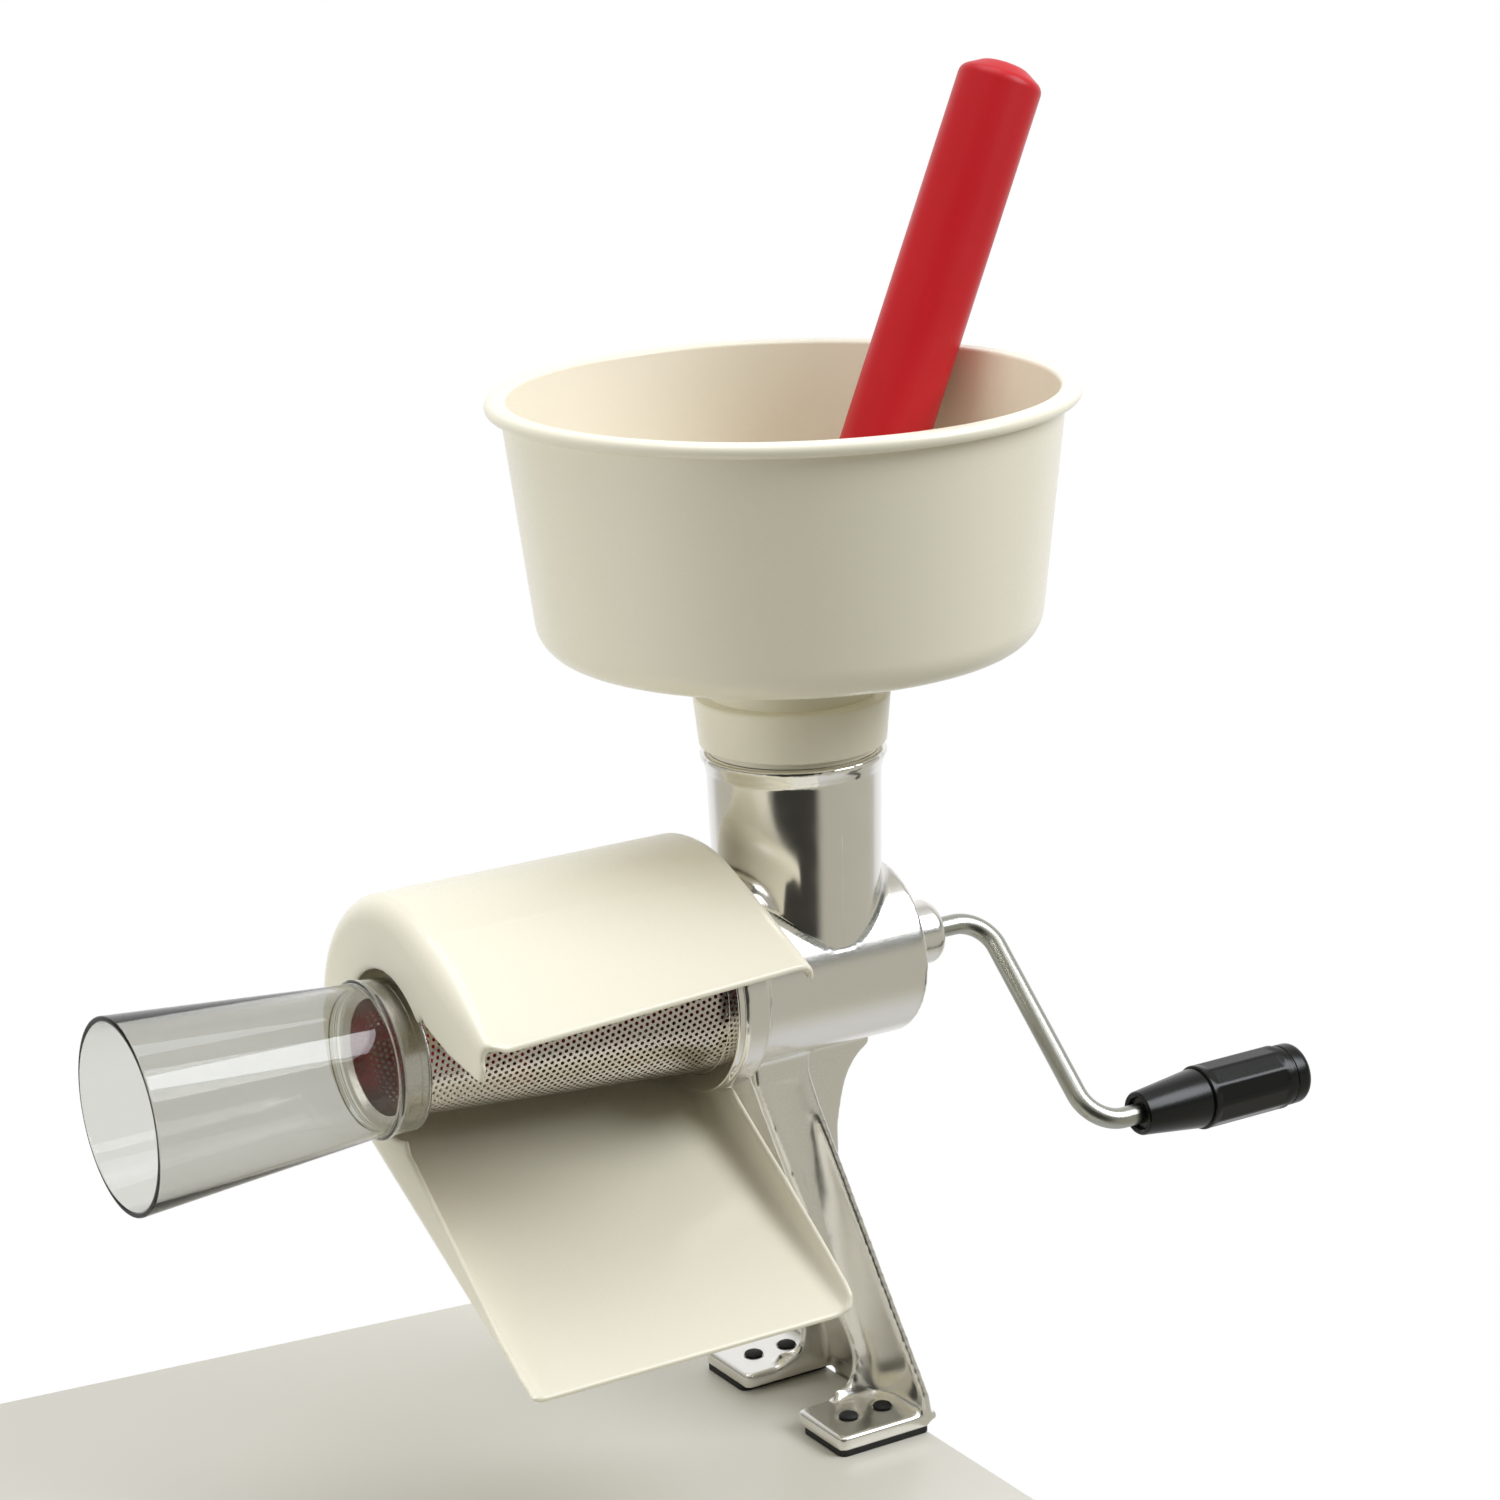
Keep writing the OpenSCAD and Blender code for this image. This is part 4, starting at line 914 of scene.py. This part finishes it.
class DressDrive(bpy.types.Operator):
    """Finishes the shaft, its bearing, seal and thrust washer"""

    bl_idname = "mill.dress_drive"
    bl_label = "Drive"

    def execute(self, context):
        """Dresses the inner pieces on the barrel's axis."""
        dress_plain(0.25, [("drive_shaft", "zinc"), ("drive_bushing", "acetal"), ("shaft_seal", "rubber"),
                           ("thrust_washer", "acetal")])
        return {"FINISHED"}


class DressClamp(bpy.types.Operator):
    """Cuts the clamp screw's thread and finishes its pad, bar and caps"""

    bl_idname = "mill.dress_clamp"
    bl_label = "Table clamp"

    def execute(self, context):
        """Makes the threaded rod with its head, then the pad, bar and caps."""
        pitch = context.scene.mill_sizes.thread / MM
        radius, head, head_height, depth = 6.0, 8.0, 14.0, 0.9
        x = (low("clamp_bar", 0) + high("clamp_bar", 0)) / 2
        foot, top = low("clamp_screw", 2), high("clamp_screw", 2)
        place = Matrix.Translation((x * MM, 0, 0)) @ UPRIGHT
        rings = []
        for z in np.arange(foot + head_height, top, pitch / 10):
            ring = []
            for a in circle(40):
                phase = (z / pitch - a / (2 * math.pi)) % 1
                r = radius - depth * min(1, max(0, 1.6 - abs(phase - 0.5) * 4.2)) * min(1, (top - z) / 3)
                ring.append((r * math.cos(a), r * math.sin(a), z))
            rings.append(ring)
        screw = grid("clamp_screw", rings, place, False, True)
        dressed(shaded(screw, 60), "zinc", "clamp_screw")
        knob = turned("clamp_head", [(0, foot), (head, foot, 1), (head, foot + head_height, 1),
                                     (0, foot + head_height)], place, 64)
        ride(dressed(shaded(knob), "zinc"), "clamp_screw")
        dress_plain(0.3, [("clamp_pad", "zinc"), ("clamp_bar", "zinc"), ("clamp_bar_caps", "rubber")])
        return {"FINISHED"}


# -------- stage

CAMERA_YAW, CAMERA_PITCH, CAMERA_ROLL = 0.544, 0.273, 0.033
CAMERA_PLACE = (-0.70860, -1.14109, 0.63443)
FOCAL_PIXELS, IMAGE_PIXELS = 3835.37, 1500


def set_camera():
    """Places the camera."""
    camera = bpy.data.cameras.new("camera")
    obj = link("camera", camera)
    forward = Vector((math.sin(CAMERA_YAW) * math.cos(CAMERA_PITCH),
                      math.cos(CAMERA_YAW) * math.cos(CAMERA_PITCH), -math.sin(CAMERA_PITCH)))
    right = Vector((math.cos(CAMERA_YAW), -math.sin(CAMERA_YAW), 0))
    down = forward.cross(right)
    x = right * math.cos(CAMERA_ROLL) + down * math.sin(CAMERA_ROLL)
    y = right * math.sin(CAMERA_ROLL) - down * math.cos(CAMERA_ROLL)
    turn = Matrix((x, y, -forward)).transposed().to_4x4()
    obj.matrix_world = Matrix.Translation(CAMERA_PLACE) @ turn
    camera.sensor_width = 36
    camera.lens = FOCAL_PIXELS / IMAGE_PIXELS * camera.sensor_width
    bpy.context.scene.camera = obj


STUDIO_LIGHT = (0.91, 0.935, 1.0)
WARM, EVEN, COOL = (1.0, 0.965, 0.83), (1.0, 1.0, 1.0), (0.75, 0.92, 1.0)
NEAR_SIDE = Vector((-0.53, -0.848, 0.0))
COLOUR_A, COLOUR_B, COLOUR_OUT = 6, 7, 2


def softbox(name, place, target, width, height, energy, mirrored=True):
    """A square studio light that faces a point, and shows in glossy surfaces if it is mirrored."""
    light = bpy.data.lights.new(name, "AREA")
    light.shape = "RECTANGLE"
    light.size, light.size_y = width, height
    light.energy = energy
    light.color = STUDIO_LIGHT
    obj = link(name, light)
    obj.visible_glossy = mirrored
    way = Vector(target) - Vector(place)
    obj.matrix_world = Matrix.Translation(place) @ way.to_track_quat("-Z", "Y").to_matrix().to_4x4()




def levels(tree, source, output, stops):
    """Turns a number into a light by stops of (place, level, tint)."""
    ramp = add(tree, "ShaderNodeValToRGB", [("Fac", source, output)])
    marks = ramp.color_ramp.elements
    while len(marks) < len(stops):
        marks.new(0.5)
    for mark, (place, level, tint_of) in zip(marks, stops):
        mark.position = place
        mark.color = [level * share for share in tint_of] + [1]
    return ramp


def blend(tree, kind, one, other):
    """Blends two lights fully."""
    mix = add(tree, "ShaderNodeMix", [(COLOUR_A, *one), (COLOUR_B, *other)], data_type="RGBA", blend_type=kind)
    mix.inputs[0].default_value = 1.0
    return mix, COLOUR_OUT


def set_world():
    """White surroundings behind the mill, a dark studio on the near side, a pale floor and ceiling."""
    world = bpy.data.worlds.new("studio")
    bpy.context.scene.world = world
    world.use_nodes = True
    tree = world.node_tree
    tree.nodes.clear()
    where = add(tree, "ShaderNodeTexCoord")
    near = add(tree, "ShaderNodeVectorMath", [(0, where, "Generated")], operation="DOT_PRODUCT")
    near.inputs[1].default_value = NEAR_SIDE
    share = add(tree, "ShaderNodeMapRange", [("Value", near, "Value")], From_Min=-1.0)
    split = add(tree, "ShaderNodeSeparateXYZ", [(0, where, "Generated")])
    height = add(tree, "ShaderNodeMapRange", [("Value", split, "Z")], From_Min=-1.0)
    # walls go by how near a direction is to the camera's side, and shelf dims a band of them by height;
    # ends light floor and ceiling, shadow dims those on the near side, and back lights the far side
    walls = levels(tree, share, 0, [(0, 0.62, EVEN), (0.3, 0.5, WARM), (0.86, 0.46, WARM), (0.885, 0.43, WARM),
                                    (0.925, 0.05, WARM), (1, 0.035, WARM)])
    shelf = levels(tree, height, 0, [(0, 1, EVEN), (0.53, 1, EVEN), (0.585, 0.5, EVEN), (0.63, 0.3, COOL),
                                     (0.67, 0.34, COOL), (0.71, 1, EVEN)])
    ends = levels(tree, height, 0, [(0, 0.68, EVEN), (0.07, 0.66, EVEN), (0.15, 0.52, WARM), (0.25, 0.3, WARM),
                                    (0.33, 0, EVEN), (0.88, 0, EVEN), (0.94, 0.9, EVEN), (1, 0.9, EVEN)])
    back = levels(tree, share, 0, [(0, 1, EVEN), (0.15, 0.8, EVEN), (0.35, 0, EVEN)])
    room = blend(tree, "MULTIPLY", (walls, 0), (shelf, 0))
    shadow = levels(tree, share, 0, [(0, 1, EVEN), (0.84, 1, EVEN), (0.93, 0.15, EVEN), (1, 0.15, EVEN)])
    ends = blend(tree, "MULTIPLY", (ends, 0), (shadow, 0))
    room = blend(tree, "LIGHTEN", room, ends)
    room = blend(tree, "LIGHTEN", room, (back, 0))
    seen = add(tree, "ShaderNodeBackground", Color=(1, 1, 1, 1), Strength=1.0)
    around = add(tree, "ShaderNodeBackground", [("Color", *room)], Strength=1.0)
    ray = add(tree, "ShaderNodeLightPath")
    through = add(tree, "ShaderNodeMath", [(0, ray, "Is Camera Ray"), (1, ray, "Is Transmission Ray")],
                  operation="MAXIMUM")
    pick = add(tree, "ShaderNodeMixShader", [("Fac", through, 0), (1, around, 0), (2, seen, 0)])
    add(tree, "ShaderNodeOutputWorld", [("Surface", pick, 0)])


class SetStage(bpy.types.Operator):
    """Sets the table, the camera, the lights and the surroundings"""

    bl_idname = "mill.set_stage"
    bl_label = "Stage"

    def execute(self, context):
        """Builds the table top that the mill is clamped to, then sets camera, surroundings and lights."""
        edge, thick, front, back, skew = 0.0213, 0.0278, -0.24, 0.151, 0.116
        far = edge - 1.25
        mesh = bpy.data.meshes.new("table")
        work = bmesh.new()
        outline = [(edge, front), (edge, back - skew * edge), (far, back - skew * far), (far, front)]
        top = work.faces.new([work.verts.new((x, y, 0)) for x, y in outline])
        under = bmesh.ops.extrude_face_region(work, geom=[top])["geom"]
        bmesh.ops.translate(work, verts=[v for v in under if isinstance(v, bmesh.types.BMVert)],
                            vec=(0, 0, -thick))
        bmesh.ops.recalc_face_normals(work, faces=work.faces)
        bmesh.ops.bevel(work, geom=work.edges, offset=0.001, segments=2, affect="EDGES")
        work.to_mesh(mesh)
        work.free()
        table = link("table", mesh)
        # laminate, pressed: pale and even with a soft sheen
        made, tree, shader = material("pressed_pale_laminate", IOR=1.5)
        colour = context.scene.mill_colours.table
        grain(tree, shader, 60, (0.32, 0.38), (shade(colour, 0.99), shade(colour, 1.01)))
        mesh.materials.append(made)
        set_camera()
        set_world()
        softbox("key", (0.858, -0.94, 1.27), (0, -0.03, 0.2), 0.95, 0.95, 21)
        softbox("top", (-0.1, 0.1, 1.9), (0, 0, 0.2), 1.2, 1.2, 13)
        softbox("fill", (-1.7, 0.35, 0.5), (0, 0, 0.25), 1.4, 0.9, 13, mirrored=False)
        bpy.context.scene.view_settings.view_transform = "Standard"
        return {"FINISHED"}


# -------- add-on

STEPS = (DressCasting, DressBowl, DressPlunger, DressChute, DressScreen, DressAuger, DressGuard, DressCrank,
         DressFeet, DressDrive, DressClamp, SetStage)


class MillPanel(bpy.types.Panel):
    """Lists the mill's pieces, sizes and colours"""

    bl_idname = "VIEW3D_PT_food_mill"
    bl_label = "Food Mill"
    bl_space_type = "VIEW_3D"
    bl_region_type = "UI"
    bl_category = "Food Mill"

    def draw(self, context):
        """Draws one button for each step, then the settings."""
        for step in STEPS:
            self.layout.operator(step.bl_idname)
        for group in (context.scene.mill_sizes, context.scene.mill_colours):
            box = self.layout.box()
            for name in group.__annotations__:
                box.prop(group, name)


CLASSES = (MillColours, MillSizes, *STEPS, MillPanel)


def register():
    """Registers the classes and the settings."""
    for kind in CLASSES:
        bpy.utils.register_class(kind)
    bpy.types.Scene.mill_colours = bpy.props.PointerProperty(type=MillColours)
    bpy.types.Scene.mill_sizes = bpy.props.PointerProperty(type=MillSizes)


def unregister():
    """Takes the settings and the classes away again."""
    del bpy.types.Scene.mill_sizes
    del bpy.types.Scene.mill_colours
    for kind in reversed(CLASSES):
        bpy.utils.unregister_class(kind)


def main():
    """Runs every step in order."""
    register()
    for step in STEPS:
        group, name = step.bl_idname.split(".")
        getattr(getattr(bpy.ops, group), name)()


if __name__ == "__main__":
    main()
